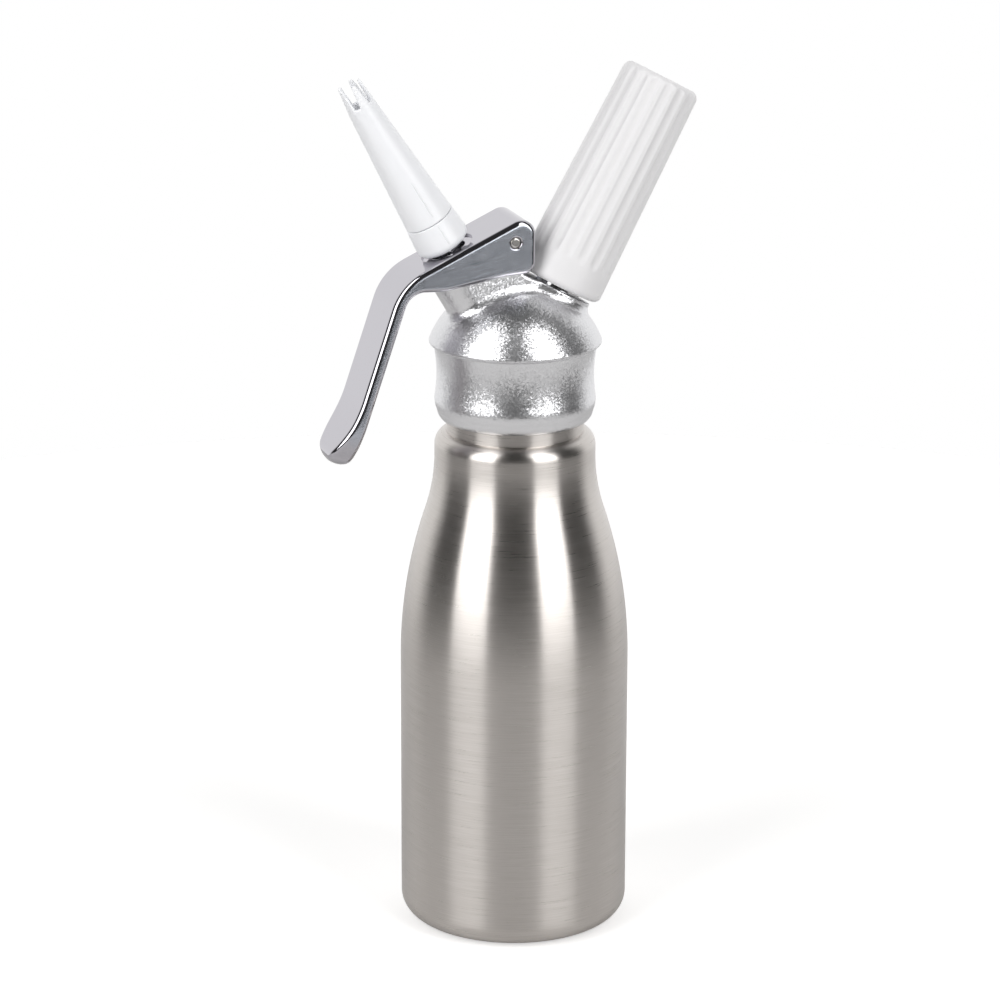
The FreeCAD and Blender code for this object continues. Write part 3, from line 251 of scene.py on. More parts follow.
groove = add(tree, "Bump", {"Height": scratches.outputs["Fac"], "Strength": 0.08, "Distance": 0.05 * MM})
around = add(tree, "Tangent", direction_type="RADIAL", axis="Z")
tree.links.new(tone.outputs["Color"], shader.inputs["Base Color"])
tree.links.new(gloss.outputs["Result"], shader.inputs["Roughness"])
tree.links.new(groove.outputs["Normal"], shader.inputs["Normal"])
tree.links.new(around.outputs["Tangent"], shader.inputs["Tangent"])
dress(bottle, brushed_steel)


# Head
# Cast aluminium, machined inside and bead-blasted outside: skirt, waist and dome are turned,
# and the valve boss, the web for the lever's pin and the charger's rim flow out of the dome.
VALVE_TILT = -30.65
VALVE_CROSS_Z = 202.8
HOLDER_TILT = 28.43
HOLDER_CROSS_Z = 200.6
PIN_X = -4.0
PIN_Z = 247.5
HEAD_LIP_Z = 183.0
RIDGE = (29.85, 210.1)
UNDERCUT = (28.3, 209.1)
DOME_FOOT_Z = 210.7
DOME_R = 32.0
DOME_CENTRE_Z = 199.2
HEAD_BORE_R = 24.6
HEAD_SEAT_Z = 207.5
CAVITY_R = 19.5
CAVITY_TOP_Z = 213.0
WEB_HALF = 9.5
COVE_R = 2.4
RIM_TOP = 31.0
RIM_R = 13.0
RIM_LOW = 9.5
NUT_CLEAR_R = 14.6
THREAD_START_Z = 189.2
THREAD_LOW_Z = 188.6
THREAD_HIGH_Z = 200.6
THREAD_PITCH = 4.0
THREAD_HALF = 0.85
THREAD_FLANK = 3.7
THREAD_DEEP = 1.3
PIN_BORE_R = 1.93
LUG_R = 3.4
BOSS_TOP = 39.4
BOSS_R = 10.9


def along_axis(x, y, z, tilt_deg, cross_z):
    """Coordinates of points in the frame of a leaning axis: across, y, and length along it."""
    tilt = math.radians(tilt_deg)
    across = x * math.cos(tilt) - (z - cross_z) * math.sin(tilt)
    along = x * math.sin(tilt) + (z - cross_z) * math.cos(tilt)
    return across, y, along


def axis_point(along, across, tilt_deg, cross_z):
    """(x, z) of a point by its length along a leaning axis and its distance across it."""
    tilt = math.radians(tilt_deg)
    return (across * math.cos(tilt) + along * math.sin(tilt),
            cross_z - across * math.sin(tilt) + along * math.cos(tilt))


def both(a, b, radius=0.0):
    """Inside both forms, with the edge between them rounded: the larger distance away from the edge,
    and near it the distance to a circle of that radius."""
    if radius <= 0:
        return np.maximum(a, b)
    u = np.maximum(a + radius, 0)
    v = np.maximum(b + radius, 0)
    return np.minimum(np.maximum(a, b), -radius) + np.hypot(u, v)


def either(a, b, radius=0.0):
    """Inside one form or the other, with a hollow round between them."""
    return -both(-a, -b, radius)


def without(a, b, radius=0.0):
    """The first form with the second cut out of it."""
    return both(a, -b, radius)


def path_distance(x, z, corners):
    """Signed distance to a closed outline of straight runs and tangent arcs, less than nothing inside.
    Each run or arc counts for the points that lie beside it, and the nearest one wins. Corners run
    anticlockwise, and each has a radius."""
    best = np.full(np.broadcast(x, z).shape, np.inf)
    signed = np.full(best.shape, np.inf)
    ends = []
    for i, (_, _, radius) in enumerate(corners):
        here, to_before, to_after, middle, half = corner_ways(corners, i)
        centre = here + middle * radius / math.sin(half)
        setback = radius / math.tan(half)
        ends.append((here + to_before * setback, here + to_after * setback))
        bulging = to_before[0] * to_after[1] - to_before[1] * to_after[0] < 0
        dx = x - centre[0]
        dz = z - centre[1]
        away = np.hypot(dx, dz)
        beside = -(dx * middle[0] + dz * middle[1]) >= away * math.sin(half) - 1e-9
        distance = (away - radius) * (1.0 if bulging else -1.0)
        closer = beside & (np.abs(distance) < best)
        best = np.where(closer, np.abs(distance), best)
        signed = np.where(closer, distance, signed)
    for i in range(len(corners)):
        start = ends[i][1]
        end = ends[(i + 1) % len(corners)][0]
        length = float(np.linalg.norm(end - start))
        if length < 1e-6:
            continue
        run = (end - start) / length
        along = (x - start[0]) * run[0] + (z - start[1]) * run[1]
        distance = (x - start[0]) * run[1] - (z - start[1]) * run[0]
        closer = (along >= 0) & (along <= length) & (np.abs(distance) < best)
        best = np.where(closer, np.abs(distance), best)
        signed = np.where(closer, distance, signed)
    return signed


def arc_through(start, via, end, count):
    """Points on the circle through three points: its centre is where two bisectors cross."""
    (ax, ay), (bx, by), (cx, cy) = start, via, end
    d = 2 * (ax * (by - cy) + bx * (cy - ay) + cx * (ay - by))
    a, b, c = ax * ax + ay * ay, bx * bx + by * by, cx * cx + cy * cy
    ux = (a * (by - cy) + b * (cy - ay) + c * (ay - by)) / d
    uy = (a * (cx - bx) + b * (ax - cx) + c * (bx - ax)) / d
    first = math.degrees(math.atan2(ay - uy, ax - ux))
    sweep = (math.degrees(math.atan2(cy - uy, cx - ux)) - first + 180) % 360 - 180
    radius = math.hypot(ax - ux, ay - uy)
    turn = np.radians(np.linspace(first, first + sweep, count))
    return np.stack([ux + radius * np.cos(turn), uy + radius * np.sin(turn)], axis=1)


def skirt_profile():
    """Outside of the turned part, from the lip up to the dome's foot, as radius against height."""
    dome_foot_r = math.sqrt(DOME_R ** 2 - (DOME_FOOT_Z - DOME_CENTRE_Z) ** 2)
    return np.concatenate([
        arc_through((25.5, HEAD_LIP_Z), (26.35, 184.0), (27.2, 186.4), 24),
        arc_through((27.2, 186.4), (27.8, 188.4), (27.78, 191.6), 30)[1:],
        arc_through((27.78, 191.6), (27.25, 198.5), UNDERCUT, 90)[1:],
        arc_through(RIDGE, ((RIDGE[0] + dome_foot_r) / 2 + 0.15, (RIDGE[1] + DOME_FOOT_Z) / 2),
                    (dome_foot_r, DOME_FOOT_Z), 30),
    ])


SKIRT = skirt_profile()


def upper_corners():
    """Side view of boss, web, pin lug and rim slope, anticlockwise, with the radius of each corner."""
    boss_right = axis_point(BOSS_TOP, BOSS_R, VALVE_TILT, VALVE_CROSS_Z)
    to_pin = (PIN_X - boss_right[0], PIN_Z - boss_right[1])
    rise = math.atan2(to_pin[1], to_pin[0]) + math.asin(LUG_R / math.hypot(*to_pin))
    lug_x = PIN_X + LUG_R
    rim_end = axis_point(RIM_TOP - 0.3, -4.0, HOLDER_TILT, HOLDER_CROSS_Z)
    rim_start_z = rim_end[1] + (rim_end[0] - lug_x) * math.tan(math.radians(HOLDER_TILT))
    return [
        (*axis_point(BOSS_TOP, -20.0, VALVE_TILT, VALVE_CROSS_Z), 1.0),
        (*axis_point(5.0, -20.0, VALVE_TILT, VALVE_CROSS_Z), 1.0),
        (*axis_point(0.0, -4.0, HOLDER_TILT, HOLDER_CROSS_Z), 1.0),
        (*rim_end, 0.5),
        (lug_x, rim_start_z, 2.5),
        (lug_x, boss_right[1] + (lug_x - boss_right[0]) * math.tan(rise), LUG_R),
        (*boss_right, 0.6),
    ]


UPPER = upper_corners()


def head_form(x, y, z):
    """Signed distance, near enough, to the head: turned form, boss and web, and rim, less the
    machined holes."""
    r = np.hypot(x, y)
    skirt = r - np.interp(z, SKIRT[:, 1], SKIRT[:, 0])
    under = (RIDGE[0] - UNDERCUT[0], RIDGE[1] - UNDERCUT[1])
    flare = ((r - UNDERCUT[0]) * under[1] - (z - UNDERCUT[1]) * under[0]) / math.hypot(*under)
    skirt = np.where((z > UNDERCUT[1]) & (z < RIDGE[1] + 0.6), both(flare, r - RIDGE[0], 0.12), skirt)
    dome = np.sqrt(r * r + (z - DOME_CENTRE_Z) ** 2) - DOME_R
    turned = both(np.where(z < DOME_FOOT_Z, skirt, dome), HEAD_LIP_Z - z, 0.4)

    across, _, along = along_axis(x, y, z, VALVE_TILT, VALVE_CROSS_Z)
    boss_at = (VALVE_CROSS_Z - DOME_CENTRE_Z) * math.sin(math.radians(VALVE_TILT))
    stadium = np.where(across < boss_at, np.hypot(across - boss_at, y), np.abs(y)) - WEB_HALF
    upper = both(stadium, path_distance(x, z, UPPER), 0.7)
    form = either(turned, upper, COVE_R)

    h_across, _, h_along = along_axis(x, y, z, HOLDER_TILT, HOLDER_CROSS_Z)
    h_r = np.hypot(h_across, y)
    rim = both(h_r - RIM_R, h_along - RIM_TOP, 0.35)
    rim = both(rim, RIM_TOP - RIM_LOW - h_along)
    form = either(form, rim, 1.9)
    form = without(form, both(h_r - NUT_CLEAR_R, RIM_TOP - h_along))

    v_r = np.hypot(across, y)
    thread_turn = (z - THREAD_START_Z) / THREAD_PITCH - np.arctan2(y, x) / (2 * math.pi)
    thread_near = np.abs(thread_turn - np.round(thread_turn)) * THREAD_PITCH
    thread_on = (z > THREAD_LOW_Z) & (z < THREAD_HIGH_Z)
    ridge = np.where(thread_on, np.clip((THREAD_HALF - thread_near) * THREAD_FLANK, 0, THREAD_DEEP), 0.0)
    holes = both(r - (HEAD_BORE_R - ridge), z - HEAD_SEAT_Z)
    holes = either(holes, both(r - CAVITY_R, z - CAVITY_TOP_Z, 2.0))
    above = CAVITY_TOP_Z - 3.0 - z
    valve_r = np.select([along < 16.5, along < 22.5, along < 30.0], [7.2, 4.3, 5.83], 6.5)
    gas_r = np.select([h_along < 18.0, h_along < 19.5], [3.5, 1.5], 7.93)
    holes = either(holes, both(v_r - valve_r, above))
    holes = either(holes, both(h_r - gas_r, above))
    holes = either(holes, np.hypot(x - PIN_X, z - PIN_Z) - PIN_BORE_R)
    return without(form, holes, 0.25)


def slope_of(form, points, reach=0.02):
    """Unit direction in which a form's distance grows fastest, by differences over a short reach."""
    grown = []
    for axis in range(3):
        step = np.zeros(3)
        step[axis] = reach
        grown.append(form(*(points + step).T) - form(*(points - step).T))
    slope = np.stack(grown, axis=1) / (2 * reach)
    return slope / np.maximum(np.linalg.norm(slope, axis=1, keepdims=True), 1e-9)


def skin_of(name, form, xs, ys, zs, tilt_deg=0.0, cross_z=0.0):
    """Closed skin of a form given by its signed distance. Each grid cell that the skin passes through gets
    one point, where the planes at the cell's crossed edges meet best, and four such points round each
    crossed edge make a face. Shading follows the form's own slope. A form about Z may be leaned over."""
    grids = [np.asarray(g, float) for g in (xs, ys, zs)]
    values = form(grids[0][:, None, None], grids[1][None, :, None], grids[2][None, None, :])
    inside_form = values < 0
    cells = tuple(len(g) - 1 for g in grids)
    strides = np.array([cells[1] * cells[2], cells[2], 1])
    owner, point_on, quads = [], [], []
    for axis in range(3):
        others = [k for k in range(3) if k != axis]
        low = [slice(None)] * 3
        high = [slice(None)] * 3
        low[axis] = slice(0, -1)
        high[axis] = slice(1, None)
        crossed = np.argwhere(inside_form[tuple(low)] != inside_form[tuple(high)])
        ahead = crossed.copy()
        ahead[:, axis] += 1
        v0 = values[tuple(crossed.T)]
        v1 = values[tuple(ahead.T)]
        share = v0 / (v0 - v1)
        where = np.stack([grids[k][crossed[:, k]] for k in range(3)], axis=1)
        where[:, axis] += share * (grids[axis][ahead[:, axis]] - grids[axis][crossed[:, axis]])
        around = []
        for da, db in ((0, 0), (-1, 0), (-1, -1), (0, -1)):
            cell = crossed.copy()
            cell[:, others[0]] += da
            cell[:, others[1]] += db
            around.append(cell @ strides)
            owner.append(around[-1])
            point_on.append(where)
        quad = np.stack(around, axis=1)
        outward = (v0 < 0) == (axis != 1)
        quads.append(np.where(outward[:, None], quad, quad[:, ::-1]))
    owner = np.concatenate(owner)
    point_on = np.concatenate(point_on)
    used, index = np.unique(owner, return_inverse=True)
    normal = slope_of(form, point_on)
    count = np.bincount(index, minlength=len(used)).astype(float)
    mean = np.stack([np.bincount(index, point_on[:, k]) / count for k in range(3)], axis=1)
    offset = np.einsum("ij,ij->i", normal, point_on - mean[index])
    pull = 0.02
    system = np.zeros((len(used), 3, 3))
    target = np.zeros((len(used), 3))
    for a in range(3):
        target[:, a] = np.bincount(index, normal[:, a] * offset)
        for b in range(3):
            system[:, a, b] = np.bincount(index, normal[:, a] * normal[:, b])
    system += np.eye(3) * pull
    corner = mean + np.linalg.solve(system, target[..., None])[..., 0]
    cell = np.stack(np.unravel_index(used, cells), axis=1)
    low = np.stack([grids[k][cell[:, k]] for k in range(3)], axis=1)
    high = np.stack([grids[k][cell[:, k] + 1] for k in range(3)], axis=1)
    corner = np.clip(corner, low, high)
    faces = np.searchsorted(used, np.concatenate(quads))
    centre = corner[faces].mean(axis=1)
    at_corner = slope_of(form, corner)
    towards = corner[faces] + 0.35 * (centre[:, None] - corner[faces])
    beside = slope_of(form, towards.reshape(-1, 3))
    at_corner = at_corner[faces].reshape(-1, 3)
    folded = np.einsum("ij,ij->i", at_corner, beside) < math.cos(math.radians(18))
    shading = leaning(np.where(folded[:, None], beside, at_corner), tilt_deg, 0.0)
    mesh = bpy.data.meshes.new(name)
    mesh.from_pydata((leaning(corner, tilt_deg, cross_z) * MM).tolist(), [], faces.tolist())
    mesh.normals_split_custom_set(shading.tolist())
    mesh.update()
    return placed(name, mesh)


def evenly(low, high, step):
    """Grid lines from low to high, as near to a step apart as they fit."""
    return np.linspace(low, high, int(round((high - low) / step)) + 1)


HEAD_STEP = 0.5
head = skin_of("head_casting", head_form, evenly(-33.2, 33.3, HEAD_STEP), evenly(-33.2, 33.3, HEAD_STEP),
               np.concatenate([evenly(181.9, 208.4, HEAD_STEP), evenly(208.8, 211.2, 0.3),
                               evenly(211.6, 252.4, HEAD_STEP)]))
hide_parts("head")
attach(head, "head")

# Bead-blasted aluminium: each dent left by a glass bead is a small mirror that leans its own way, so
# bright areas break up into sparkle at their edges. Dents are drawn 0.42 mm across to show in the picture.
BEAD = 0.42
DENT_LEAN = 0.17
blasted, tree, shader = new_material("bead_blasted_aluminium", Metallic=1.0, Roughness=0.3)
shader.inputs["Base Color"].default_value = colour("#e4e4e6")
place = add(tree, "TexCoord").outputs["Object"]
dents = add(tree, "TexVoronoi", {"Vector": place, "Scale": 1 / (BEAD * MM)})
random_way = add(tree, "VectorMath", {0: dents.outputs["Color"], 1: (0.5, 0.5, 0.5)}, operation="SUBTRACT")
lean = add(tree, "VectorMath", {0: random_way.outputs[0], "Scale": DENT_LEAN}, operation="SCALE")
surface = add(tree, "NewGeometry")
leaned = add(tree, "VectorMath", {0: surface.outputs["Normal"], 1: lean.outputs[0]}, operation="ADD")
straight = add(tree, "VectorMath", {0: leaned.outputs[0]}, operation="NORMALIZE")
tree.links.new(straight.outputs[0], shader.inputs["Normal"])
dress(head, blasted)


# Lever
# Cast steel, polished on the outside and linished on the cheeks. Two cheeks reach down beside the web,
# and the arm bends down to a rounded tongue with a turned-out lip.
LEVER_HALF = 12.0
LEVER_STEP = 0.42
LEVER_EDGE_R = 1.9
TONGUE_LONG = 18.0
TONGUE_END = (-66.75, 172.5)
ARM_WAY = (-15.4, -45.4)
TOP_SLOPE = 24.5
TOP_RISE = 6.17
PLATE_THICK = 2.4
POCKET_HALF = 9.9
POCKET_FRONT_X = -35.0
END_WALL_X = 1.6
END_WALL_LOW = 1.0
STEM_HOLE_R = 5.0
STEM_HOLE_SHIFT = 1.2
STEM_HOLE_LOW = 38.0
SPOT_ALONG = 48.78
SPOT_R = 9.4
SPOT_DEEP = 0.8
PIN_HOLE_R = 1.95
PIN_BEVEL_R = 2.35
LEVER = [
    (3.4, 257.93, 5.2),
    (-44.9, 235.7, 21.0),
    (-60.3, 190.3, 45.0),
    (-70.9, 175.0, 4.4),
    (-62.6, 170.0, 3.6),
    (-41.2, 232.6, 7.0),
    (-29.0, 232.1, 20.0),
    (-8.0, 235.7, 40.0),
    (3.4, 236.5, 4.0),
]


def lever_form(x, y, z):
    """Signed distance, near enough, to the lever: side view and plan view meet in rounded edges, and the
    pocket, the stem's oval hole, the spot face and the pin's holes are cut out."""
    side = path_distance(x, z, LEVER)
    arm = np.array(ARM_WAY) / np.linalg.norm(ARM_WAY)
    centre = np.array(TONGUE_END) - arm * (TONGUE_LONG - 0.6)
    along = (x - centre[0]) * arm[0] + (z - centre[1]) * arm[1]
    ring = np.sqrt((along / TONGUE_LONG) ** 2 + (y / LEVER_HALF) ** 2)
    steep = np.sqrt((along / TONGUE_LONG ** 2) ** 2 + (y / LEVER_HALF ** 2) ** 2)
    tongue = (ring - 1) * ring / np.maximum(steep, 1e-6)
    plan = np.where(along < 0, np.abs(y) - LEVER_HALF, tongue)
    form = both(side, plan, LEVER_EDGE_R)

    slope = math.radians(TOP_SLOPE)
    top = -(x - PIN_X) * math.sin(slope) + (z - PIN_Z) * math.cos(slope)
    pocket = both(np.abs(y) - POCKET_HALF, top - (TOP_RISE - PLATE_THICK), 0.8)
    pocket = both(pocket, POCKET_FRONT_X - x, 0.8)
    pocket = both(pocket, either(x - END_WALL_X, z - PIN_Z - END_WALL_LOW, 0.3), 0.3)
    across, _, s = along_axis(x, y, z, VALVE_TILT, VALVE_CROSS_Z)
    hole = np.hypot(np.maximum(np.abs(across) - STEM_HOLE_SHIFT, 0), y) - STEM_HOLE_R
    hole = both(hole, STEM_HOLE_LOW - s)
    form = without(form, pocket)
    form = without(form, hole, 0.3)
    spot_x, spot_z = axis_point(SPOT_ALONG, 0.0, VALVE_TILT, VALVE_CROSS_Z)
    spot_along = (x - spot_x) * math.cos(slope) + (z - spot_z) * math.sin(slope)
    spot = both(np.hypot(spot_along, y) - SPOT_R, TOP_RISE - SPOT_DEEP - top)
    form = without(form, spot, 0.35)
    pin_r = np.hypot(x - PIN_X, z - PIN_Z)
    form = without(form, pin_r - PIN_HOLE_R)
    bevel = (pin_r - PIN_BEVEL_R - (np.abs(y) - LEVER_HALF)) * math.sqrt(0.5)
    return without(form, bevel, 0.15)


lever_along = np.concatenate([evenly(-73.0, -39.6, LEVER_STEP), evenly(-39.3, -18.6, 0.25),
                              evenly(-18.3, -7.6, LEVER_STEP), evenly(-7.4, -0.7, 0.2),
                              evenly(-0.4, 5.5, LEVER_STEP)])
lever_across = np.concatenate([evenly(-12.9, -11.0, 0.2), evenly(-10.7, 10.7, LEVER_STEP),
                               evenly(11.0, 12.9, 0.2)])
lever_up = np.concatenate([evenly(168.5, 236.6, LEVER_STEP), evenly(236.9, 251.2, 0.22),
                           evenly(251.5, 257.5, LEVER_STEP)])
lever = skin_of("lever_casting", lever_form, lever_along, lever_across, lever_up)
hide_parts("lever")
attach(lever, "lever")

# Polished cast steel: a bright mirror with a little softness, and on the flat cheeks straight belt lines
# that run along the lever and spread what they mirror up and down.
LINE_HIGH = 0.16
LINE_LONG = 9.0
LINE_TILT = 12.0
polished, tree, shader = new_material("polished_cast_steel", Metallic=1.0)
coords = add(tree, "TexCoord")
facing = add(tree, "SeparateXYZ", {"Vector": coords.outputs["Normal"]})
sideways = add(tree, "Math", {0: facing.outputs["Y"]}, operation="ABSOLUTE")
cheek = add(tree, "MapRange", {"Value": sideways.outputs[0], "From Min": 0.93, "From Max": 0.995})
turned_in = add(tree, "Mapping", {"Vector": coords.outputs["Object"],
                                  "Rotation": (0, math.radians(LINE_TILT), 0)})
stretched = add(tree, "Mapping", {"Vector": turned_in.outputs[0], "Scale": (1 / (LINE_LONG * MM),
                                                                            1 / (LINE_LONG * MM),
                                                                            1 / (LINE_HIGH * MM))})
lines = add(tree, "TexNoise", {"Vector": stretched.outputs[0], "Scale": 1.0, "Detail": 3.0, "Roughness": 0.6})
belt = add(tree, "Bump", {"Height": lines.outputs["Fac"], "Distance": 0.02 * MM,
                          "Strength": cheek.outputs["Result"]})
gloss = add(tree, "MapRange", {"Value": cheek.outputs["Result"], "To Min": 0.05, "To Max": 0.24})
streak = add(tree, "MapRange", {"Value": lines.outputs["Fac"], "From Min": 0.3, "From Max": 0.7,
                                "To Min": 0.72, "To Max": 1.0})
dulled = add(tree, "MixRGB", {0: cheek.outputs["Result"], 1: colour("#c2c0c6"), 2: colour("#c4c8d1")})
toned = add(tree, "MixRGB", {0: cheek.outputs["Result"], 1: dulled.outputs[0], 2: streak.outputs["Result"]},
            blend_type="MULTIPLY")
tree.links.new(toned.outputs[0], shader.inputs["Base Color"])
tree.links.new(gloss.outputs["Result"], shader.inputs["Roughness"])
tree.links.new(belt.outputs["Normal"], shader.inputs["Normal"])
dress(lever, polished)


# Nozzle adapter and decorating nozzle
# Moulded white plastic, satin, on the valve's axis. The adapter is screwed on the stem and carries the
# nozzle on a threaded spigot; both have a thin mould rib at each side.
ADAPTER_FOOT = 50.0
ADAPTER_R = 9.8
ADAPTER_TOP = 61.2
ADAPTER_TOP_R = 8.75
SPIGOT_R = 6.0
SPIGOT_TOP = 68.0
NOZZLE_FOOT = 61.45
NOZZLE_R = 8.65
NOZZLE_TIP = 116.6
NOZZLE_TIP_R = 4.4
NOZZLE_LEDGE = 69.8
NOZZLE_BORE_R = 6.95
SLOT_LONG = 7.8
SLOT_TURN = -47.0
SLOT_COUNT = 5
RIB_HIGH = 0.22
RIB_HALF = 0.25
RIB_SUNK = 0.1
RIB_FADE = 0.4
PLASTIC_STEP = 0.4


def thread_height(x, y, s, start, pitch, turns, high):
    """Height of a thread ridge over its wall, from how near a point is to the helix along the axis."""
    laps = (s - start) / pitch - np.arctan2(y, x) / (2 * math.pi)
    near = np.abs(laps - np.round(laps)) * pitch
    along = (s > start - 0.3) & (s < start + pitch * turns)
    return np.where(along, np.clip((0.48 - near) * 2.6, 0, 1) * high, 0.0)


def adapter_wall(s):
    """Outer radius of the adapter at a length along its axis."""
    return np.interp(s, [ADAPTER_FOOT, ADAPTER_TOP], [ADAPTER_R, ADAPTER_TOP_R])


def nozzle_wall(s):
    """Outer radius of the nozzle at a length along its axis."""
    return np.interp(s, [NOZZLE_FOOT, NOZZLE_TIP], [NOZZLE_R, NOZZLE_TIP_R])


def adapter_form(x, y, s):
    """Signed distance, near enough, to the adapter about its own axis, s being the length along it."""
    r = np.hypot(x, y)
    body = both(both(r - adapter_wall(s), ADAPTER_FOOT - s, 3.0), s - ADAPTER_TOP, 0.3)
    ridge = thread_height(x, y, s, 63.2, 2.0, 2, 0.65)
    spigot = both(both(r - SPIGOT_R - ridge, s - SPIGOT_TOP, 0.3), ADAPTER_FOOT + 2 - s)
    body = either(body, spigot)
    return without(body, r - np.where(s < 62.0, 3.53, 4.2))


def nozzle_form(x, y, s):
    """Signed distance, near enough, to the nozzle: two cones, the thread and the slots."""
    r = np.hypot(x, y)
    body = both(both(r - nozzle_wall(s), NOZZLE_FOOT - s, 0.3), s - NOZZLE_TIP, 0.3)
    ridge = thread_height(x, y, s, 62.2, 2.0, 2.5, 0.65)
    bore = np.where(s < NOZZLE_LEDGE, NOZZLE_BORE_R - ridge,
                    np.interp(s, [NOZZLE_LEDGE, NOZZLE_TIP], [5.0, 3.15]))
    body = without(body, r - bore, 0.15)
    half = np.interp(s, [NOZZLE_TIP - SLOT_LONG, NOZZLE_TIP], [1.0, 1.7])
    for i in range(SLOT_COUNT):
        turn = math.radians(SLOT_TURN + 360.0 * i / SLOT_COUNT)
        out = x * math.cos(turn) + y * math.sin(turn)
        beside = np.abs(y * math.cos(turn) - x * math.sin(turn))
        slot = both(both(beside - half, NOZZLE_TIP - SLOT_LONG - s), 1.0 - out)
        body = without(body, slot, 0.55)
    return body


plastic_across = evenly(-10.6, 10.6, PLASTIC_STEP)
adapter = skin_of("adapter_moulding", adapter_form, plastic_across, plastic_across,
                  evenly(49.5, 68.5, PLASTIC_STEP), VALVE_TILT, VALVE_CROSS_Z)
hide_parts("nozzle_adapter")
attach(adapter, "valve")
nozzle_across = evenly(-9.3, 9.3, 0.31)
nozzle_along = np.concatenate([evenly(61.0, 106.5, 0.5), evenly(106.8, 117.1, 0.25)])
nozzle = skin_of("nozzle_moulding", nozzle_form, nozzle_across, nozzle_across, nozzle_along,
                 VALVE_TILT, VALVE_CROSS_Z)
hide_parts("decorator_nozzle")
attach(nozzle, "nozzle")


def mould_rib(name, side, low, high, wall_at):
    """Thin rib along a tapered wall: a low round ridge across, and straight along, fading out at its ends."""
    wide, long = 9, 40
    across = np.linspace(-1, 1, wide)[:, None]
    along = np.linspace(low, high, long)[None, :]
    fade = np.sqrt(np.clip(np.minimum(along - low, high - along) / RIB_FADE, 0, 1))
    out = wall_at(along) - RIB_SUNK + (RIB_HIGH + RIB_SUNK) * np.sqrt(1 - across ** 2) * fade
    x = across * RIB_HALF
    grid = np.stack([x + 0 * along, side * np.sqrt(out ** 2 - x ** 2), along + 0 * x], axis=-1)
    points = leaning(grid, VALVE_TILT, VALVE_CROSS_Z).reshape(-1, 3)
    i, k = np.meshgrid(np.arange(wide - 1), np.arange(long - 1), indexing="ij")
    corner = i * long + k
    quads = np.stack([corner, corner + 1, corner + long + 1, corner + long], axis=-1).reshape(-1, 4)
    return mesh_piece(name, points, (quads if side > 0 else quads[:, ::-1]).tolist())


ribs = []
for side, word in ((-1, "near"), (1, "far")):
    ribs.append(mould_rib("adapter_rib_" + word, side, 53.2, 60.8, adapter_wall))
    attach(ribs[-1], "valve")
    ribs.append(mould_rib("nozzle_rib_" + word, side, 64.0, 78.0, nozzle_wall))
    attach(ribs[-1], "nozzle")

# White satin plastic: cool white that lets a little light into it, with a soft sheen.
satin, tree, shader = new_material("white_satin_plastic_finish", Roughness=0.34, Subsurface_Weight=0.15,
                                   Subsurface_Scale=1.0)
shader.inputs["Base Color"].default_value = colour("#f7f8fb")
shader.inputs["Subsurface Radius"].default_value = (0.5 * MM, 0.5 * MM, 0.5 * MM)
dress(adapter, satin)
dress(nozzle, satin)
for rib in ribs:
    dress(rib, satin)


# Charger holder
# Thick white plastic cup with eighteen shallow grip flutes that run out above its foot. It screws down on
# the threaded stub with the charger inside.
HOLDER_FOOT = 32.2
HOLDER_TOP = 112.0
HOLDER_FOOT_R = 15.5
HOLDER_TOP_R = 13.95
HOLDER_BORE_R = 9.8
HOLDER_CUP_TOP = 109.7
INSERT_R = 11.93
INSERT_FOOT = 33.4
INSERT_TOP = 45.6
FLUTES = 18
FLUTE_R = 2.6
FLUTE_DEEP = 0.6
FLUTE_START = 44.6


def fluted(radius, height, turn):
    """Radius of the fluted wall: the smaller of the wall's own radius and that of the nearest flute's round
    cutter, with the edge between them eased. Points inside the wall keep their radius."""
    pitch = 2 * math.pi / FLUTES
    aside = (turn + pitch / 2) % pitch - pitch / 2
    wall = np.interp(height, [HOLDER_FOOT, HOLDER_TOP], [HOLDER_FOOT_R, HOLDER_TOP_R])
    centre = wall + FLUTE_R - FLUTE_DEEP
    reach = np.sqrt(np.maximum(FLUTE_R ** 2 - np.maximum(FLUTE_START - height, 0) ** 2, 0))
    depth = np.sqrt(np.maximum(reach ** 2 - (centre * np.sin(aside)) ** 2, 0))
    groove = centre * np.cos(aside) - depth
    eased = -np.log(np.exp(-radius * 6) + np.exp(-groove * 6)) / 6
    return np.where(radius > INSERT_R + 0.5, np.minimum(eased, radius), radius)


holder_outline = divided(rounded([
    (HOLDER_TOP_R, HOLDER_TOP, 2.8),
    (0.0, HOLDER_TOP, 0.0),
    (0.0, HOLDER_CUP_TOP, 0.0),
    (HOLDER_BORE_R, HOLDER_CUP_TOP, 0.3),
    (HOLDER_BORE_R, INSERT_TOP, 0.0),
    (INSERT_R, INSERT_TOP, 0.0),
    (INSERT_R, INSERT_FOOT, 0.0),
    (10.7, INSERT_FOOT, 0.0),
    (10.7, HOLDER_FOOT, 0.3),
    (HOLDER_FOOT_R, HOLDER_FOOT, 2.4),
], 10.0)[::-1], 1.2)
holder = lathe("holder_moulding", holder_outline, FLUTES * 24, HOLDER_TILT, HOLDER_CROSS_Z, fluted, 50.0)
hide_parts("charger_holder")
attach(holder, "holder")

# White matte plastic: thick and faintly translucent, with a broad weak sheen.
matte, tree, shader = new_material("white_matte_plastic_finish", Roughness=0.42, Subsurface_Weight=0.25,
                                   Subsurface_Scale=1.0)
shader.inputs["Base Color"].default_value = colour("#e8e7e8")
shader.inputs["Subsurface Radius"].default_value = (3.0 * MM, 3.0 * MM, 3.0 * MM)
dress(holder, matte)


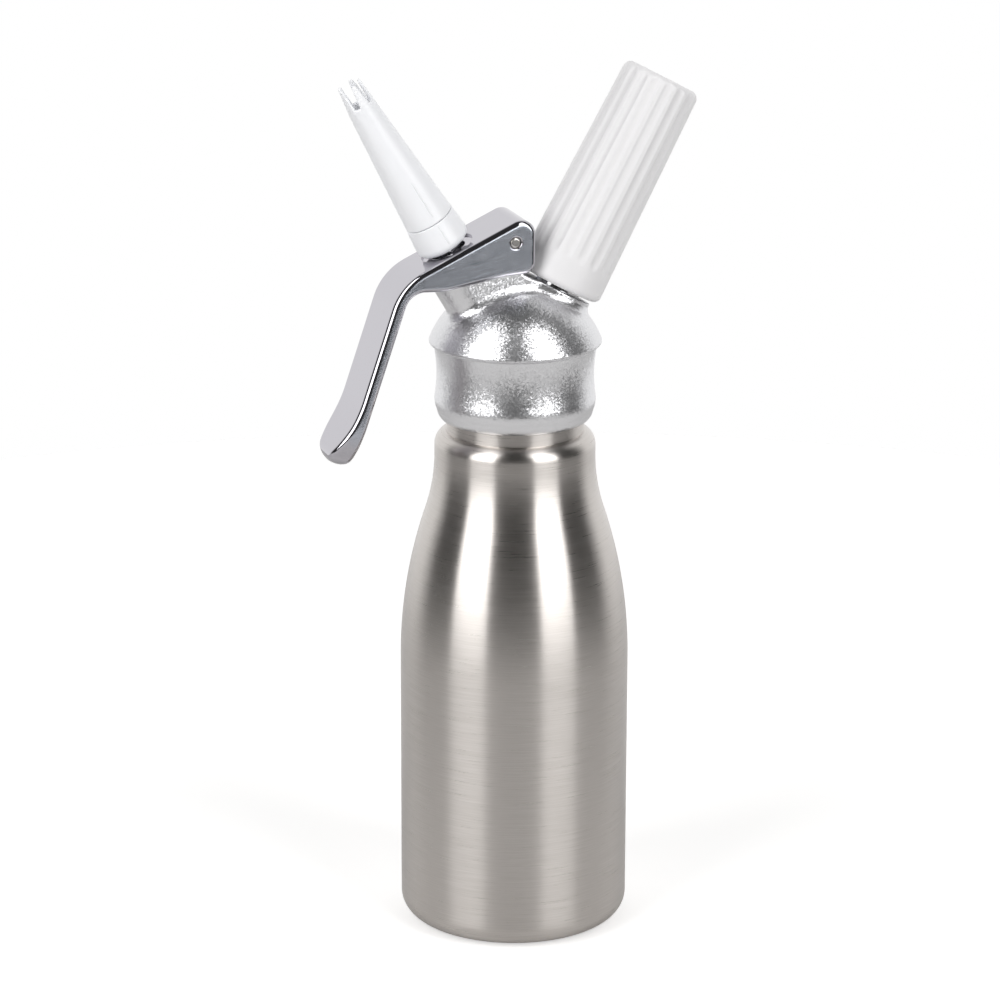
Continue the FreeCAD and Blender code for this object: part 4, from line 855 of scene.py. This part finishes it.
# Small metal and rubber pieces
# Stock finishes for what shows little or nothing: machined stainless, drawn spring wire, bright plate, brass,
# turned aluminium, and moulded rubber and silicone.
STOCK = {
    "machined_stainless": ("#c4c1be", 1.0, 0.25),
    "turned_aluminium": ("#cfcfd2", 1.0, 0.3),
    "bright_steel": ("#b9b9bb", 1.0, 0.12),
    "spring_steel": ("#a5a5a6", 1.0, 0.25),
    "brass_bush": ("#c9a860", 1.0, 0.28),
    "charger_steel": ("#b4b4b8", 1.0, 0.2),
    "white_silicone": ("#e6e4df", 0.0, 0.5),
    "black_rubber": ("#1d1c1c", 0.0, 0.6),
}
slots = {part["node"]: part["material_slot"] for part in frame["record"]["subparts"]}
stock = {}
for slot_name, (shade, metal, rough) in STOCK.items():
    material, tree, shader = new_material(slot_name, Metallic=metal, Roughness=rough)
    shader.inputs["Base Color"].default_value = colour(shade)
    stock[slot_name] = material
for node_name, node in nodes.items():
    if slots.get(node_name) in stock:
        dress(node, stock[slots[node_name]])
dress(nodes["neck_ring"], brushed_steel)


# Floor, light and camera
# A pale sweep with a white wall behind, a dim room in front and a tall soft box at each side of the
# camera. Metal mirrors the wall at its edges, the boxes beside its middle and the dim room between them.
CAMERA_AZIMUTH = -19.0
FLOOR_R = 0.62
azimuth = math.radians(CAMERA_AZIMUTH)
right = np.array([math.cos(azimuth), math.sin(azimuth), 0])
toward_camera = np.array([math.sin(azimuth), -math.cos(azimuth), 0])
rim_turn = np.linspace(0, 2 * math.pi, 128, endpoint=False)
rim_points = np.stack([FLOOR_R * np.cos(rim_turn), FLOOR_R * np.sin(rim_turn), 0 * rim_turn], axis=1)
floor_mesh = bpy.data.meshes.new("floor")
floor_mesh.from_pydata(rim_points.tolist(), [], [list(range(128))])
floor = placed("floor", floor_mesh)
floor.location.z = -0.0002
pale, tree, shader = new_material("pale_floor", Roughness=0.9)
shader.inputs["Base Color"].default_value = colour("#dedddc")
paths = add(tree, "LightPath")
white = add(tree, "Emission", {"Color": (1, 1, 1, 1), "Strength": 0.5})
none = add(tree, "Emission", {"Color": (0, 0, 0, 1), "Strength": 0.0})
seen = add(tree, "MixShader", {0: paths.outputs["Is Camera Ray"], 1: none.outputs[0], 2: white.outputs[0]})
both_ways = add(tree, "AddShader", {0: shader.outputs[0], 1: seen.outputs[0]})
tree.links.new(both_ways.outputs[0], tree.nodes["Material Output"].inputs["Surface"])
dress(floor, pale)

WALL_FROM = 0.1
WALL_FULL = 0.6
ROOM = 0.04
world = bpy.data.worlds.new("studio")
bpy.context.scene.world = world
world.use_nodes = True
tree = world.node_tree
background = tree.nodes["Background"]
way = add(tree, "TexCoord").outputs["Generated"]
behind = add(tree, "VectorMath", {0: way, 1: tuple(-toward_camera)}, operation="DOT_PRODUCT")
wall = add(tree, "MapRange", {"Value": behind.outputs["Value"], "From Min": WALL_FROM, "From Max": WALL_FULL,
                              "To Min": ROOM, "To Max": 1.0}, interpolation_type="SMOOTHSTEP")
paths = add(tree, "LightPath")
level = add(tree, "Math", {0: wall.outputs["Result"], 1: paths.outputs["Is Camera Ray"]}, operation="MAXIMUM")
background.inputs["Color"].default_value = (1, 1, 1, 1)
tree.links.new(level.outputs[0], background.inputs["Strength"])


def soft_box(name, side_deg, away, centre_z, wide, high, radiance):
    """Upright soft box facing the bottle's axis: side in degrees from the camera (right is more), distance,
    height of its centre, size in metres, and radiance, where 1 renders as white."""
    turn = math.radians(side_deg)
    place = (toward_camera * math.cos(turn) + right * math.sin(turn)) * away + np.array([0, 0, centre_z])
    data = bpy.data.lights.new(name, "AREA")
    data.shape = "RECTANGLE"
    data.size = wide
    data.size_y = high
    data.energy = radiance * math.pi * wide * high
    lamp = placed(name, data)
    lamp.location = place
    inward = math.atan2(-place[1], -place[0])
    lamp.rotation_euler = (math.pi / 2, 0, inward - math.pi / 2)


soft_box("soft_box_left", -47, 1.5, 1.6, 1.0, 3.0, 3.5)
soft_box("soft_box_right", 45, 1.5, 1.6, 0.95, 3.0, 3.5)

CAMERA_AWAY = 1490.986
CAMERA_ELEVATION = 16.91
CAMERA_ROLL = 0.157
FOCAL_PX = 4274.865
PICTURE_PX = 1000
AIM_ACROSS = -5.131
AIM_HIGH = 152.526
elevation = math.radians(CAMERA_ELEVATION)
back = toward_camera * math.cos(elevation) + np.array([0, 0, math.sin(elevation)])
aim = right * AIM_ACROSS + np.array([0, 0, AIM_HIGH])
camera_data = bpy.data.cameras.new("camera")
camera = placed("camera", camera_data)
camera.location = (aim + back * CAMERA_AWAY) * MM
camera.rotation_euler = (math.pi / 2 - elevation, 0, azimuth)
camera.rotation_euler.rotate_axis("Z", math.radians(CAMERA_ROLL))
camera_data.sensor_width = 36.0
camera_data.lens = 36.0 * FOCAL_PX / PICTURE_PX
camera_data.clip_start = 0.05
camera_data.clip_end = 50.0
bpy.context.scene.camera = camera
bpy.context.scene.view_settings.view_transform = "Standard"
